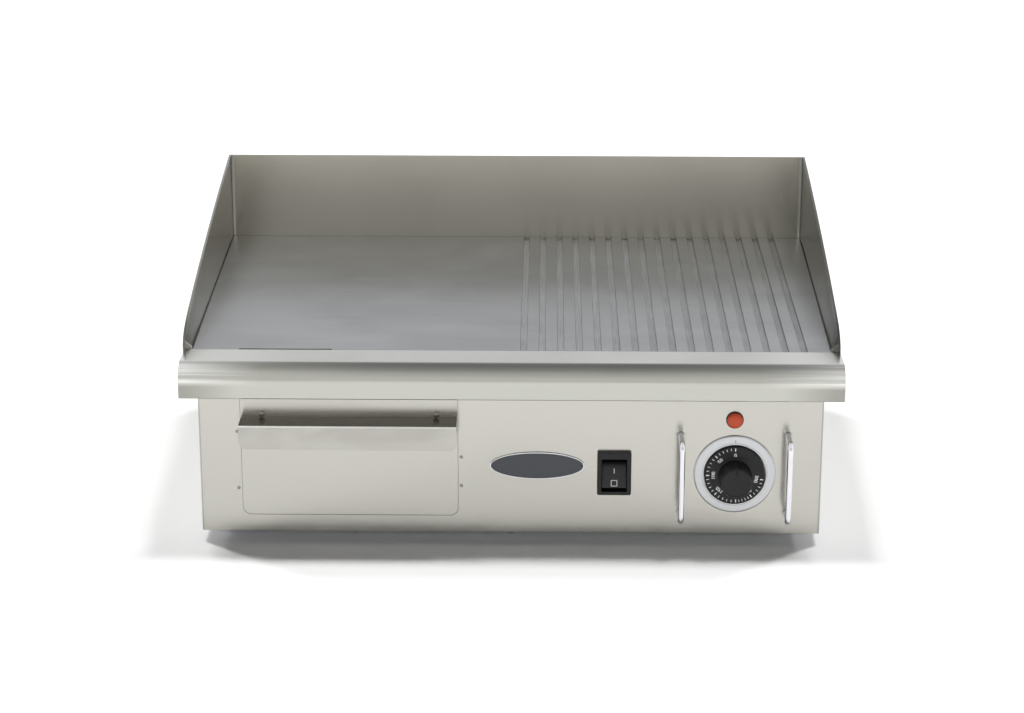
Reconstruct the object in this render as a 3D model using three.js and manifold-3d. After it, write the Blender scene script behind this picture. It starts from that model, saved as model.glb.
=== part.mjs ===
// Countertop electric griddle: a half-ribbed steel plate with splash guards over a sheet-metal
// housing, with a grease drawer, a rocker switch, a pilot lamp and a thermostat dial between
// two guard bars.
//
// Millimetres. +X is the griddle's right seen from the front, +Y its back, +Z up. Inside this
// file y = 0 is the front edge of the plate and z = 0 the worktop. The last lines shift the
// griddle along Y, so that its origin is on the worktop under the middle of its box.
import * as THREE from "three";
import { mergeVertices } from "three/addons/utils/BufferGeometryUtils.js";
import Module from "manifold-3d";

const wasm = await Module();
wasm.setup();

// ---- Driving dimensions ----

const WIDTH = 550;
const HEIGHT = 240;
const GAP = 0.3;
const SHEET = 1.2;

const PLATE = { depth: 350, top: 160, thick: 8, frontHalf: 266.6, backHalf: 273 };
const GROOVES = { count: 16, pitch: 15.65, firstX: 10.3, width: 6, depth: 2.2 };
const DRAIN = { left: -228, right: -150, depth: 3 };

const GUARD = { sheet: 2, foot: 3, footLap: 1 };
// Places on the side guards' top edge, as Y and height above the plate.
const GUARD_EDGE = { crown: [200, 59.5], shoulder: [57, 26.6], nose: [30, 20.5], tip: 14.5 };

const RAIL = { strip: 30, radius: 15, height: 28.6, sheet: 1.5 };

const BODY = { width: 519, bottom: 10.5, setBack: 11.6, rearInset: 15 };

const DRAWER = { left: -224.5, right: -43.7, top: 128.5, bottom: 25.2, corner: 7, gap: 0.8 };
const TRAY = { width: 168, depth: 249, bottom: 29, rim: 103, frontRim: 122, sheet: 1.5 };
const HANDLE = { reach: 22, top: 112, lip: 21, leg: 12 };
const DRAWER_RIVET = { reach: 72.5, z: 115, hole: 1.8, shank: 1.5, head: 2.6, rise: 1.2, tail: 2 };
const RUNNER = { clearance: 0.9, ledge: 11, top: 60, overrun: 10 };
const CHUTE = { width: 86, depth: 16, sheet: 1.5, mouth: 108, taper: 0.6, y: 5 };

const DIAL = { x: 187, z: 64, bezelOuter: 34.2, bezelInner: 26, bezelThick: 2.2, standOff: 0.8 };
const KNOB = { skirt: 25.5, grip: 13.7, gripFront: 12.7, reach: 25.5, rim: 3.6 };
const SPINDLE = { radius: 3, running: 0.15, hole: 4.5, inKnob: 17.5, inBody: 13 };
const THERMOSTAT = { half: 19, low: 42, high: 86, depth: 30, bore: 14 };
const BULB = { radius: 3, reach: 45, y: 111 };
const CAPILLARY = { radius: 1, bend: 4, leadX: 242, dropY: 10, rise: 10 };
const LIMITER = { x: [90, 122], y: [60, 92], top: 40 };
const BAR = { x: 186.1, reach: 27, height: 74, radius: 2.5, bend: 5, spacing: 88.8, tail: 8 };
const BAR_NUT = { flats: 8, thick: 4 };
const LAMP = { x: 186, z: 111.7, bezel: 7.3, rim: 1.2, lens: 6.3, dome: 3.4, body: 5, depth: 26 };
const SWITCH = { x: 86.6, z: 64.5, width: 28.4, height: 38, lap: 1.5, flange: 3.7, depth: 22, well: 16 };
const ROCKER = { width: 20.6, height: 26, tilt: 12, pivot: 6, drop: 1.5, window: 28.8 };
const BADGE = { x: 22.3, z: 70.5, width: 79, height: 24, thick: 1.2 };

const ELEMENT = { radius: 4, left: -225, right: 215, spacing: 40, centres: [75, 175, 275] };
const PIN = { radius: 1.6, length: 16 };
const CLAMP = { x: 110, width: 25, thick: 3, front: 40, back: 310, boltY: [125, 225] };
const BOLT = { radius: 3, head: 5, headThick: 4, bite: 5 };
const SHIELD = { front: 26, back: 330, floor: 110, wall: 12 };
const BOARD = { thick: 14, clear: 3, sideClear: 12 };

const FOOT = { radius: 13, tip: 11, insetX: 32, insetY: 45, stud: 2.5, studLow: 5, studHeight: 8 };
const REAR_VENTS = { count: 9, firstX: -120, pitch: 15, width: 4, low: 60, high: 100 };
const FLOOR_VENTS = { x: [40, 100, 160], y: [70, 100, 240, 270], length: 40, width: 4 };
const BONDING = { x: 225, z: 32, radius: 3, reach: 12, flats: 10, head: 4, nut: 5 };
const GLAND = { x: 180, z: 45, bore: 5.5, thread: 8, threadIn: 9, flange: 12, hex: 5, reach: 13, nut: 5 };
const TERMINALS = { x: [130, 180], y: [270, 292], height: 18, hole: 2.4, holeDepth: 8 };
const TERMINAL_WAYS = { x: [138, 149, 161, 172], y: [275.5, 286.5] };

// ---- Worked-out places ----

const PLATE_UNDER = PLATE.top - PLATE.thick;
const RAIL_FACE = -(RAIL.strip + RAIL.radius);
const RAIL_LOW = PLATE.top - RAIL.height;
const PANEL = RAIL_FACE + BODY.setBack;
const PANEL_BACK = PANEL + SHEET;
const REAR = PLATE.depth + GUARD.sheet - BODY.rearInset;
const HALF_BODY = BODY.width / 2;
const PANEL_TOP = PLATE_UNDER - GAP;
const FRONT_TOP = PLATE.top - RAIL.sheet - 1;
const FLOOR_TOP = BODY.bottom + SHEET;
const DRAWER_MID = (DRAWER.left + DRAWER.right) / 2;
const BAR_LEG = BAR.height / 2 - BAR.radius;
const ELEMENT_Z = PLATE_UNDER - GAP - ELEMENT.radius;
const CLAMP_TOP = ELEMENT_Z - ELEMENT.radius - GAP;
const BULB_Z = PLATE_UNDER - GAP - BULB.radius;
const ROUND = 24;

// ---- Materials ----

function metal(color, roughness) {
  return new THREE.MeshStandardMaterial({ color, roughness, metalness: 1 });
}

function plastic(color, roughness) {
  return new THREE.MeshStandardMaterial({ color, roughness, metalness: 0 });
}

const brushedSteel = metal(0xc9c8be, 0.35);
const plateSteel = metal(0x9c9da0, 0.45);
const zincSteel = metal(0xb4b6b8, 0.4);
const chrome = metal(0xe4e4ea, 0.08);
const aluminium = metal(0xdfe0e0, 0.3);
const brass = metal(0xc9a14a, 0.3);
const incoloy = metal(0x4a4f4a, 0.6);
const blackPlastic = plastic(0x1c1c1e, 0.4);
const redLens = plastic(0xd8401c, 0.2);
const badgeSlate = plastic(0x3c4046, 0.45);
const rubber = plastic(0x161616, 0.8);
const ceramicWool = plastic(0xe6e0d2, 0.9);
const creamPlastic = plastic(0xe8e2d0, 0.5);

// ---- Building solids ----

function toSolid(geometry) {
  const bare = geometry.clone();
  bare.deleteAttribute("normal");
  bare.deleteAttribute("uv");
  const merged = mergeVertices(bare);
  const vertProperties = new Float32Array(merged.attributes.position.array);
  const triVerts = new Uint32Array(merged.index.array);
  return new wasm.Manifold(new wasm.Mesh({ numProp: 3, vertProperties, triVerts }));
}

function toGeometry(solid) {
  const mesh = solid.getMesh();
  const geometry = new THREE.BufferGeometry();
  geometry.setAttribute("position", new THREE.BufferAttribute(mesh.vertProperties, 3));
  geometry.setIndex(new THREE.BufferAttribute(mesh.triVerts, 1));
  return geometry;
}

function cut(base, ...tools) {
  return toGeometry(tools.reduce((solid, tool) => solid.subtract(toSolid(tool)), toSolid(base)));
}

function join(first, ...others) {
  return toGeometry(others.reduce((solid, other) => solid.add(toSolid(other)), toSolid(first)));
}

// A box from its low and high limits along X, Y and Z.
function block([x0, x1], [y0, y1], [z0, z1]) {
  const box = new THREE.BoxGeometry(x1 - x0, y1 - y0, z1 - z0);
  return box.translate((x0 + x1) / 2, (y0 + y1) / 2, (z0 + z1) / 2);
}

// A cylinder along Y, X or Z between two limits; the other two numbers place its axis.
function rodY(radius, [y0, y1], x, z, sides = ROUND) {
  const rod = new THREE.CylinderGeometry(radius, radius, y1 - y0, sides);
  return rod.translate(x, (y0 + y1) / 2, z);
}

function rodZ(radius, [z0, z1], x, y, sides = ROUND) {
  const rod = new THREE.CylinderGeometry(radius, radius, z1 - z0, sides).rotateX(Math.PI / 2);
  return rod.translate(x, y, (z0 + z1) / 2);
}

function rodX(radius, [x0, x1], y, z, sides = ROUND) {
  const rod = new THREE.CylinderGeometry(radius, radius, x1 - x0, sides).rotateZ(Math.PI / 2);
  return rod.translate((x0 + x1) / 2, y, z);
}

function outline(points) {
  return new THREE.Shape(points.map(([u, v]) => new THREE.Vector2(u, v)));
}

function extrude(shape, depth, curveSegments = 8) {
  return new THREE.ExtrudeGeometry(shape, { depth, bevelEnabled: false, curveSegments });
}

// A shape drawn in Y and Z, extruded along X.
function alongX(shape, [x0, x1], curveSegments) {
  const turned = new THREE.Matrix4().makeBasis(
    new THREE.Vector3(0, 1, 0),
    new THREE.Vector3(0, 0, 1),
    new THREE.Vector3(1, 0, 0),
  );
  return extrude(shape, x1 - x0, curveSegments).applyMatrix4(turned).translate(x0, 0, 0);
}

// A shape drawn in X and Z, extruded along Y.
function alongY(shape, [y0, y1], curveSegments) {
  return extrude(shape, y1 - y0, curveSegments).rotateX(Math.PI / 2).translate(0, y1, 0);
}

function alongZ(shape, [z0, z1], curveSegments) {
  return extrude(shape, z1 - z0, curveSegments).translate(0, 0, z0);
}

// A solid of revolution about a line along Y; the profile gives [radius, y] from front to back.
function turnedY(profile, x, z, sides = ROUND) {
  const points = profile.map(([radius, y]) => new THREE.Vector2(radius, y));
  return new THREE.LatheGeometry(points, sides).translate(x, 0, z);
}

function ringY(outer, inner, [y0, y1], x, z, sides = ROUND) {
  return cut(rodY(outer, [y0, y1], x, z, sides), rodY(inner, [y0 - 1, y1 + 1], x, z, sides));
}

function hexagonY(flats, [y0, y1], x, z) {
  return rodY(flats / Math.sqrt(3), [y0, y1], x, z, 6);
}

// A path of straight runs with a rounded corner between each two. An extrusion along it takes
// one step for each run and `bendSteps` for each corner, in place of even spacing.
class BentPath extends THREE.Curve {
  constructor(points, bend, bendSteps) {
    super();
    const towards = (from, to) => from.clone().add(to.clone().sub(from).setLength(bend));
    const last = points.length - 1;
    let from = points[0];
    this.stations = [];
    for (let i = 1; i <= last; i += 1) {
      const to = i < last ? towards(points[i], points[i - 1]) : points[last];
      this.stations.push([new THREE.LineCurve3(from, to), 0]);
      if (i < last) {
        from = towards(points[i], points[i + 1]);
        const corner = new THREE.QuadraticBezierCurve3(to, points[i], from);
        for (let step = 0; step < bendSteps; step += 1) {
          this.stations.push([corner, step / bendSteps]);
        }
      } else {
        this.stations.push([this.stations.at(-1)[0], 1]);
      }
    }
  }

  stationAt(u) {
    return this.stations[Math.round(u * (this.stations.length - 1))];
  }

  getPointAt(u) {
    const [curve, t] = this.stationAt(u);
    return curve.getPoint(t);
  }

  getTangentAt(u) {
    const [curve, t] = this.stationAt(u);
    return curve.getTangent(t);
  }
}

// A round tube along a bent path. A full circle takes two points for each curve segment.
function tube(path, radius, sides) {
  const section = new THREE.Shape();
  section.absarc(0, 0, radius, 0, 2 * Math.PI);
  const steps = path.stations.length - 1;
  const options = { extrudePath: path, steps, curveSegments: sides / 2, bevelEnabled: false };
  return new THREE.ExtrudeGeometry(section, options);
}

const griddle = new THREE.Group();

function add(name, geometry, material) {
  const mesh = new THREE.Mesh(geometry, material);
  mesh.name = name;
  griddle.add(mesh);
  return mesh;
}

// ---- Plate and splash guards ----

// The plate narrows a little towards the front. Its right half is ribbed from front to back,
// and a slot in its front edge lets grease down into the drawer.
function plateGeometry() {
  const back = PLATE.depth - GAP;
  const shape = outline([
    [-PLATE.frontHalf, 0],
    [DRAIN.left, 0],
    [DRAIN.left, DRAIN.depth],
    [DRAIN.right, DRAIN.depth],
    [DRAIN.right, 0],
    [PLATE.frontHalf, 0],
    [PLATE.backHalf, back],
    [-PLATE.backHalf, back],
  ]);
  const grooves = Array.from({ length: GROOVES.count }, (_, i) => {
    const x = GROOVES.firstX + i * GROOVES.pitch;
    const side = GROOVES.width / 2;
    return block([x - side, x + side], [-1, PLATE.depth], [PLATE.top - GROOVES.depth, HEIGHT]);
  });
  const threads = [-CLAMP.x, CLAMP.x].flatMap((x) =>
    CLAMP.boltY.map((y) => rodZ(BOLT.radius + GAP, [0, PLATE_UNDER + BOLT.bite + GAP], x, y, 12)));
  return cut(alongZ(shape, [PLATE_UNDER, PLATE.top]), ...grooves, ...threads);
}

// A side guard: a sheet on edge, with a long crowned top edge that ends in a rounded nose, and
// an apron below the plate. A thin foot fills the wedge between the sheet and the plate's edge.
function sideGuardGeometry(side) {
  const { top } = PLATE;
  const { crown, shoulder, nose, tip } = GUARD_EDGE;
  const back = PLATE.depth - GAP;
  const shape = new THREE.Shape();
  shape.moveTo(0, RAIL_LOW);
  shape.lineTo(back, RAIL_LOW);
  shape.lineTo(back, HEIGHT);
  shape.quadraticCurveTo(crown[0], top + crown[1], shoulder[0], top + shoulder[1]);
  shape.bezierCurveTo(nose[0], top + nose[1], 0, top + tip, 0, top);
  const outer = WIDTH / 2;
  const inner = outer - GUARD.sheet;
  const sheet = alongX(shape, side > 0 ? [inner, outer] : [-outer, -inner], 12);
  const foot = outline([
    [side * (PLATE.frontHalf + GAP), 0],
    [side * (inner + GUARD.footLap), 0],
    [side * (inner + GUARD.footLap), back],
    [side * (PLATE.backHalf + GAP), back],
  ]);
  return join(sheet, alongZ(foot, [top - GUARD.foot, top]));
}

function rearGuardGeometry() {
  const half = WIDTH / 2;
  return block([-half, half], [PLATE.depth, PLATE.depth + GUARD.sheet], [RAIL_LOW, HEIGHT]);
}

add("griddle_plate", plateGeometry(), plateSteel);
add("left_splash_guard", sideGuardGeometry(-1), brushedSteel);
add("right_splash_guard", sideGuardGeometry(1), brushedSteel);
add("rear_splash_guard", rearGuardGeometry(), brushedSteel);

// ---- Front rail ----

// The outside line of the rail's section in Y and Z, drawn in by `inset`.
function railLine(path, inset) {
  const nose = RAIL.radius - inset;
  path.lineTo(-RAIL.strip, PLATE.top - inset);
  path.absarc(-RAIL.strip, PLATE.top - RAIL.radius, nose, Math.PI / 2, Math.PI, false);
  path.lineTo(RAIL_FACE + inset, RAIL_LOW + inset);
}

// One bent sheet: a flange down the plate's edge, the flat strip, the bullnose, the face, and
// a return flange that meets the front panel.
function railGeometry() {
  const reach = WIDTH / 2 - RAIL.sheet - GAP;
  const section = new THREE.Shape();
  section.moveTo(-GAP, PLATE_UNDER);
  section.lineTo(-GAP, PLATE.top);
  railLine(section, 0);
  section.lineTo(PANEL - GAP, RAIL_LOW);
  section.lineTo(PANEL - GAP, RAIL_LOW + RAIL.sheet);
  section.lineTo(RAIL_FACE + RAIL.sheet, RAIL_LOW + RAIL.sheet);
  const nose = RAIL.radius - RAIL.sheet;
  section.lineTo(RAIL_FACE + RAIL.sheet, PLATE.top - RAIL.radius);
  section.absarc(-RAIL.strip, PLATE.top - RAIL.radius, nose, Math.PI, Math.PI / 2, true);
  section.lineTo(-GAP - RAIL.sheet, PLATE.top - RAIL.sheet);
  section.lineTo(-GAP - RAIL.sheet, PLATE_UNDER);
  return alongX(section, [-reach, reach], 8);
}

function railEndGeometry(side) {
  const outer = WIDTH / 2;
  const inner = outer - RAIL.sheet;
  const section = new THREE.Shape();
  section.moveTo(-GAP, RAIL_LOW);
  section.lineTo(-GAP, PLATE.top);
  railLine(section, 0);
  return alongX(section, side > 0 ? [inner, outer] : [-outer, -inner], 8);
}

add("front_rail", railGeometry(), brushedSteel);
add("left_rail_end", railEndGeometry(-1), brushedSteel);
add("right_rail_end", railEndGeometry(1), brushedSteel);

// ---- Housing ----

// A rectangle in X and Z with its two lower corners rounded.
function drawerOutline(grow) {
  const left = DRAWER.left - grow;
  const right = DRAWER.right + grow;
  const bottom = DRAWER.bottom - grow;
  const corner = DRAWER.corner + grow;
  const shape = new THREE.Shape();
  shape.moveTo(left, DRAWER.top + grow);
  shape.lineTo(left, bottom + corner);
  shape.absarc(left + corner, bottom + corner, corner, Math.PI, 1.5 * Math.PI, false);
  shape.lineTo(right - corner, bottom);
  shape.absarc(right - corner, bottom + corner, corner, 1.5 * Math.PI, 2 * Math.PI, false);
  shape.lineTo(right, DRAWER.top + grow);
  return shape;
}

function barPlaces() {
  return [-1, 1].map((side) => BAR.x + (side * BAR.spacing) / 2);
}

function frontPanelGeometry() {
  const through = [PANEL - 5, PANEL_BACK + 5];
  const barHoles = barPlaces().flatMap((x) =>
    [-BAR_LEG, BAR_LEG].map((z) => rodY(BAR.radius + GAP, through, x, DIAL.z + z, 12)));
  const side = SWITCH.width / 2 - SWITCH.lap;
  const rise = SWITCH.height / 2 - SWITCH.lap;
  return cut(
    block([-HALF_BODY, HALF_BODY], [PANEL, PANEL_BACK], [BODY.bottom, FRONT_TOP]),
    alongY(drawerOutline(DRAWER.gap), through, 6),
    block([SWITCH.x - side, SWITCH.x + side], through, [SWITCH.z - rise, SWITCH.z + rise]),
    rodY(SPINDLE.hole, through, DIAL.x, DIAL.z),
    rodY(LAMP.body + GAP, through, LAMP.x, LAMP.z),
    ...barHoles,
  );
}

function sidePanelGeometry(side) {
  const outer = side * HALF_BODY;
  const inner = side * (HALF_BODY - SHEET);
  const x = side > 0 ? [inner, outer] : [outer, inner];
  return block(x, [PANEL_BACK + GAP, REAR - SHEET - GAP], [BODY.bottom, PANEL_TOP]);
}

// A row of upright slots for cooling air, in the rear panel.
function rearPanelGeometry() {
  const through = [REAR - SHEET - 5, REAR + 5];
  const { count, firstX, pitch, width, low, high } = REAR_VENTS;
  const slots = Array.from({ length: count }, (_, i) => {
    const x = firstX + i * pitch;
    return block([x - width / 2, x + width / 2], through, [low, high]);
  });
  return cut(
    block([-HALF_BODY, HALF_BODY], [REAR - SHEET, REAR], [BODY.bottom, PANEL_TOP]),
    rodY(GLAND.thread + GAP, through, GLAND.x, GLAND.z),
    rodY(BONDING.radius + GAP, through, BONDING.x, BONDING.z, 12),
    ...slots,
  );
}

function footPlaces() {
  const frontY = PANEL + FOOT.insetY;
  const backY = REAR - FOOT.insetY;
  const sideX = HALF_BODY - FOOT.insetX;
  return [
    ["foot_front_left", -sideX, frontY],
    ["foot_front_right", sideX, frontY],
    ["foot_rear_left", -sideX, backY],
    ["foot_rear_right", sideX, backY],
  ];
}

function bottomPlateGeometry() {
  const reach = HALF_BODY - SHEET - GAP;
  const z = [BODY.bottom, FLOOR_TOP];
  const through = [0, 50];
  const long = FLOOR_VENTS.length / 2;
  const wide = FLOOR_VENTS.width / 2;
  const slots = FLOOR_VENTS.y.flatMap((y) =>
    FLOOR_VENTS.x.map((x) => block([x - long, x + long], [y - wide, y + wide], through)));
  const footHoles = footPlaces().map(([, x, y]) => rodZ(FOOT.stud + GAP, through, x, y, 12));
  return cut(
    block([-reach, reach], [PANEL_BACK + GAP, REAR - SHEET - GAP], z),
    ...slots,
    ...footHoles,
  );
}

add("front_panel", frontPanelGeometry(), brushedSteel);
add("left_side_panel", sidePanelGeometry(-1), brushedSteel);
add("right_side_panel", sidePanelGeometry(1), brushedSteel);
add("rear_panel", rearPanelGeometry(), brushedSteel);
add("bottom_plate", bottomPlateGeometry(), zincSteel);

// A rubber foot with its stud moulded in.
function footGeometry(x, y) {
  const pad = new THREE.CylinderGeometry(FOOT.radius, FOOT.tip, BODY.bottom - GAP, ROUND);
  pad.rotateX(Math.PI / 2).translate(x, y, (BODY.bottom - GAP) / 2);
  return join(pad, rodZ(FOOT.stud, [FOOT.studLow, FLOOR_TOP + FOOT.studHeight], x, y, 12));
}

for (const [name, x, y] of footPlaces()) {
  add(name, footGeometry(x, y), rubber);
}

// ---- Grease drawer ----

function trayGeometry() {
  const left = DRAWER_MID - TRAY.width / 2;
  const right = DRAWER_MID + TRAY.width / 2;
  const front = PANEL_BACK + GAP;
  const back = front + TRAY.depth;
  const { sheet } = TRAY;
  const box = block([left, right], [front, back], [TRAY.bottom, TRAY.rim]);
  const frontWall = block([left, right], [front, front + sheet], [TRAY.rim - 1, TRAY.frontRim]);
  const inside = block(
    [left + sheet, right - sheet],
    [front + sheet, back - sheet],
    [TRAY.bottom + sheet, TRAY.rim + 1],
  );
  return cut(join(box, frontWall), inside, ...rivetHoles());
}

function rivetPlaces() {
  return [-1, 1].map((side) => DRAWER_MID + side * DRAWER_RIVET.reach);
}

function rivetHoles() {
  const through = [PANEL - 5, PANEL_BACK + 5];
  return rivetPlaces().map((x) => rodY(DRAWER_RIVET.hole, through, x, DRAWER_RIVET.z, 12));
}

function drawerFrontGeometry() {
  return cut(alongY(drawerOutline(0), [PANEL, PANEL_BACK], 6), ...rivetHoles());
}

// An inverted channel: a leg on the drawer front, a flange, and a lip with rounded corners.
function handleGeometry() {
  const back = PANEL - GAP;
  const front = PANEL - HANDLE.reach;
  const low = HANDLE.top - HANDLE.lip;
  const section = outline([
    [back, HANDLE.top - HANDLE.leg],
    [back, HANDLE.top],
    [front, HANDLE.top],
    [front, low],
    [front + SHEET, low],
    [front + SHEET, HANDLE.top - SHEET],
    [back - SHEET, HANDLE.top - SHEET],
    [back - SHEET, HANDLE.top - HANDLE.leg],
  ]);
  return alongX(section, [DRAWER.left + 0.5, DRAWER.right - 0.5]);
}

function rivetGeometry(x) {
  const { head, shank, rise, z } = DRAWER_RIVET;
  const face = PANEL - GAP;
  const dome = [[0, face - rise], [head * 0.7, face - rise * 0.8], [head, face - rise / 3], [head, face]];
  const tail = PANEL_BACK + TRAY.sheet + DRAWER_RIVET.tail;
  return turnedY([...dome, [shank, face], [shank, tail], [0, tail]], x, z, 12);
}

// A runner under each side of the tray: an upright on the bottom plate with a ledge.
function runnerGeometry(side) {
  const { clearance, ledge, top, overrun } = RUNNER;
  const wall = DRAWER_MID + side * (TRAY.width / 2 + clearance);
  const ledgeTop = TRAY.bottom - GAP;
  const x = (inward) => wall - side * inward;
  const section = outline([
    [x(-SHEET), FLOOR_TOP + GAP],
    [x(0), FLOOR_TOP + GAP],
    [x(0), ledgeTop - SHEET],
    [x(ledge), ledgeTop - SHEET],
    [x(ledge), ledgeTop],
    [x(0), ledgeTop],
    [x(0), top],
    [x(-SHEET), top],
  ]);
  return alongY(section, [PANEL_BACK + GAP, PANEL_BACK + TRAY.depth + overrun]);
}

// A four-sided funnel under the drain slot, narrower at its mouth. A four-sided cylinder turned
// by 45 degrees is a square of side 1 at its top, which takes the funnel's width and depth.
function chuteGeometry() {
  const top = PLATE_UNDER - GAP;
  const funnel = (width, depth, overshoot) => {
    const height = top - CHUTE.mouth + 2 * overshoot;
    const shell = new THREE.CylinderGeometry(Math.SQRT1_2, Math.SQRT1_2 * CHUTE.taper, height, 4);
    shell.rotateY(Math.PI / 4).rotateX(Math.PI / 2);
    shell.scale(width, depth, 1);
    return shell.translate((DRAIN.left + DRAIN.right) / 2, CHUTE.y, (top + CHUTE.mouth) / 2);
  };
  const walls = 2 * CHUTE.sheet;
  return cut(funnel(CHUTE.width, CHUTE.depth, 0), funnel(CHUTE.width - walls, CHUTE.depth - walls, 0.5));
}

add("drip_drawer", trayGeometry(), brushedSteel);
add("drawer_front", drawerFrontGeometry(), brushedSteel);
add("drawer_handle", handleGeometry(), brushedSteel);
rivetPlaces().forEach((x, i) => add(`drawer_rivet_${i + 1}`, rivetGeometry(x), chrome));
add("left_drawer_runner", runnerGeometry(-1), zincSteel);
add("right_drawer_runner", runnerGeometry(1), zincSteel);
add("drain_chute", chuteGeometry(), zincSteel);

// ---- Heating ----

// A hairpin tube with a thin terminal pin on each end.
function elementGeometry(y) {
  const reach = ELEMENT.spacing / 2;
  const at = (x, dy) => new THREE.Vector3(x, y + dy, ELEMENT_Z);
  const corners = [at(ELEMENT.right, -reach), at(ELEMENT.left, -reach),
    at(ELEMENT.left, reach), at(ELEMENT.right, reach)];
  const pins = [-reach, reach].map((dy) =>
    rodX(PIN.radius, [ELEMENT.right - 1, ELEMENT.right + PIN.length], y + dy, ELEMENT_Z, 8));
  return join(tube(new BentPath(corners, reach - 1, 5), ELEMENT.radius, 8), ...pins);
}

function clampGeometry(x) {
  const half = CLAMP.width / 2;
  const bar = block([x - half, x + half], [CLAMP.front, CLAMP.back], [CLAMP_TOP - CLAMP.thick, CLAMP_TOP]);
  return cut(bar, ...CLAMP.boltY.map((y) => rodZ(BOLT.radius + GAP, [0, HEIGHT], x, y, 12)));
}

function clampBoltGeometry(x, y) {
  const headTop = CLAMP_TOP - CLAMP.thick - GAP;
  const head = rodZ(BOLT.head / Math.cos(Math.PI / 6), [headTop - BOLT.headThick, headTop], x, y, 6);
  return join(head, rodZ(BOLT.radius, [headTop - 1, PLATE_UNDER + BOLT.bite], x, y, 12));
}

ELEMENT.centres.forEach((y, i) => add(`heating_element_${i + 1}`, elementGeometry(y), incoloy));

[-CLAMP.x, CLAMP.x].forEach((x, i) => {
  const side = i === 0 ? "left" : "right";
  add(`${side}_element_clamp`, clampGeometry(x), zincSteel);
  add(`${side}_clamp_bolt_front`, clampBoltGeometry(x, CLAMP.boltY[0]), zincSteel);
  add(`${side}_clamp_bolt_rear`, clampBoltGeometry(x, CLAMP.boltY[1]), zincSteel);
});

// A shallow sheet tray that spans the side panels, with the wool board in it.
function shieldGeometry() {
  const half = HALF_BODY - SHEET - GAP;
  const { front, back, floor, wall } = SHIELD;
  return join(
    block([-half, half], [front, back], [floor, floor + SHEET]),
    block([-half, half], [front, front + SHEET], [floor, floor + wall]),
    block([-half, half], [back - SHEET, back], [floor, floor + wall]),
  );
}

function boardGeometry() {
  const half = HALF_BODY - BOARD.sideClear;
  const y = [SHIELD.front + BOARD.clear, SHIELD.back - BOARD.clear];
  const floor = SHIELD.floor + SHEET + GAP;
  return block([-half, half], y, [floor, floor + BOARD.thick]);
}

add("heat_shield", shieldGeometry(), zincSteel);
add("insulation_board", boardGeometry(), ceramicWool);

// ---- Thermostat ----

function thermostatGeometry() {
  const front = PANEL_BACK + GAP;
  const body = block(
    [DIAL.x - THERMOSTAT.half, DIAL.x + THERMOSTAT.half],
    [front, front + THERMOSTAT.depth],
    [THERMOSTAT.low, THERMOSTAT.high],
  );
  const bore = [front - 1, front + THERMOSTAT.bore];
  return cut(body, rodY(SPINDLE.radius + SPINDLE.running, bore, DIAL.x, DIAL.z));
}

function spindleGeometry() {
  return rodY(
    SPINDLE.radius,
    [PANEL - SPINDLE.inKnob, PANEL_BACK + GAP + SPINDLE.inBody],
    DIAL.x,
    DIAL.z,
  );
}

// The knob: a skirt that carries the scale, and a tapered grip, with a bore for the spindle.
function knobGeometry() {
  const back = PANEL - DIAL.standOff;
  const front = PANEL - KNOB.reach;
  const profile = [
    [0, front],
    [KNOB.gripFront - 1, front],
    [KNOB.gripFront, front + 1],
    [KNOB.grip, back - KNOB.rim - 2],
    [KNOB.grip + 2, back - KNOB.rim - 0.6],
    [KNOB.skirt - 1, back - KNOB.rim + 0.6],
    [KNOB.skirt, back - KNOB.rim + 1.6],
    [KNOB.skirt, back],
    [0, back],
  ];
  const bore = rodY(SPINDLE.radius + GAP, [front + 7, back + 1], DIAL.x, DIAL.z);
  return cut(turnedY(profile, DIAL.x, DIAL.z, 36), bore);
}

function bezelGeometry() {
  const face = PANEL - GAP;
  const y = [face - DIAL.bezelThick, face];
  return ringY(DIAL.bezelOuter, DIAL.bezelInner, y, DIAL.x, DIAL.z, 36);
}

// The capillary leaves the bulb towards the right, passes the elements' ends, and turns down to
// the thermostat's back.
function capillaryGeometry() {
  const { radius, bend, leadX, dropY, rise } = CAPILLARY;
  const back = PANEL_BACK + 2 * GAP + THERMOSTAT.depth;
  const point = (x, y, z) => new THREE.Vector3(x, y, z);
  const route = [
    point(BULB.reach + GAP, BULB.y, BULB_Z),
    point(leadX, BULB.y, BULB_Z),
    point(leadX, dropY, BULB_Z),
    point(DIAL.x, dropY, BULB_Z),
    point(DIAL.x, dropY, DIAL.z + rise),
    point(DIAL.x, back, DIAL.z + rise),
  ];
  return tube(new BentPath(route, bend, 3), radius, 6);
}

add("thermostat_body", thermostatGeometry(), creamPlastic);
add("thermostat_spindle", spindleGeometry(), zincSteel);
add("control_knob", knobGeometry(), blackPlastic);
add("dial_bezel", bezelGeometry(), aluminium);
add("thermostat_bulb", rodX(BULB.radius, [-BULB.reach, BULB.reach], BULB.y, BULB_Z, 12), brass);
add("capillary_tube", capillaryGeometry(), brass);
add("safety_limiter", block(LIMITER.x, LIMITER.y, [FLOOR_TOP + GAP, LIMITER.top]), creamPlastic);

// ---- Guard bars on both sides of the dial ----

function guardBarGeometry(x) {
  const front = PANEL - BAR.reach + BAR.radius;
  const tail = PANEL_BACK + BAR.tail;
  const at = (y, dz) => new THREE.Vector3(x, y, DIAL.z + dz);
  const corners = [at(tail, -BAR_LEG), at(front, -BAR_LEG), at(front, BAR_LEG), at(tail, BAR_LEG)];
  return tube(new BentPath(corners, BAR.bend, 4), BAR.radius, 12);
}

function barNutGeometry(x, z) {
  const y = [PANEL_BACK + GAP, PANEL_BACK + GAP + BAR_NUT.thick];
  const hole = rodY(BAR.radius + GAP, [y[0] - 1, y[1] + 1], x, z, 12);
  return cut(hexagonY(BAR_NUT.flats, y, x, z), hole);
}

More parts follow.
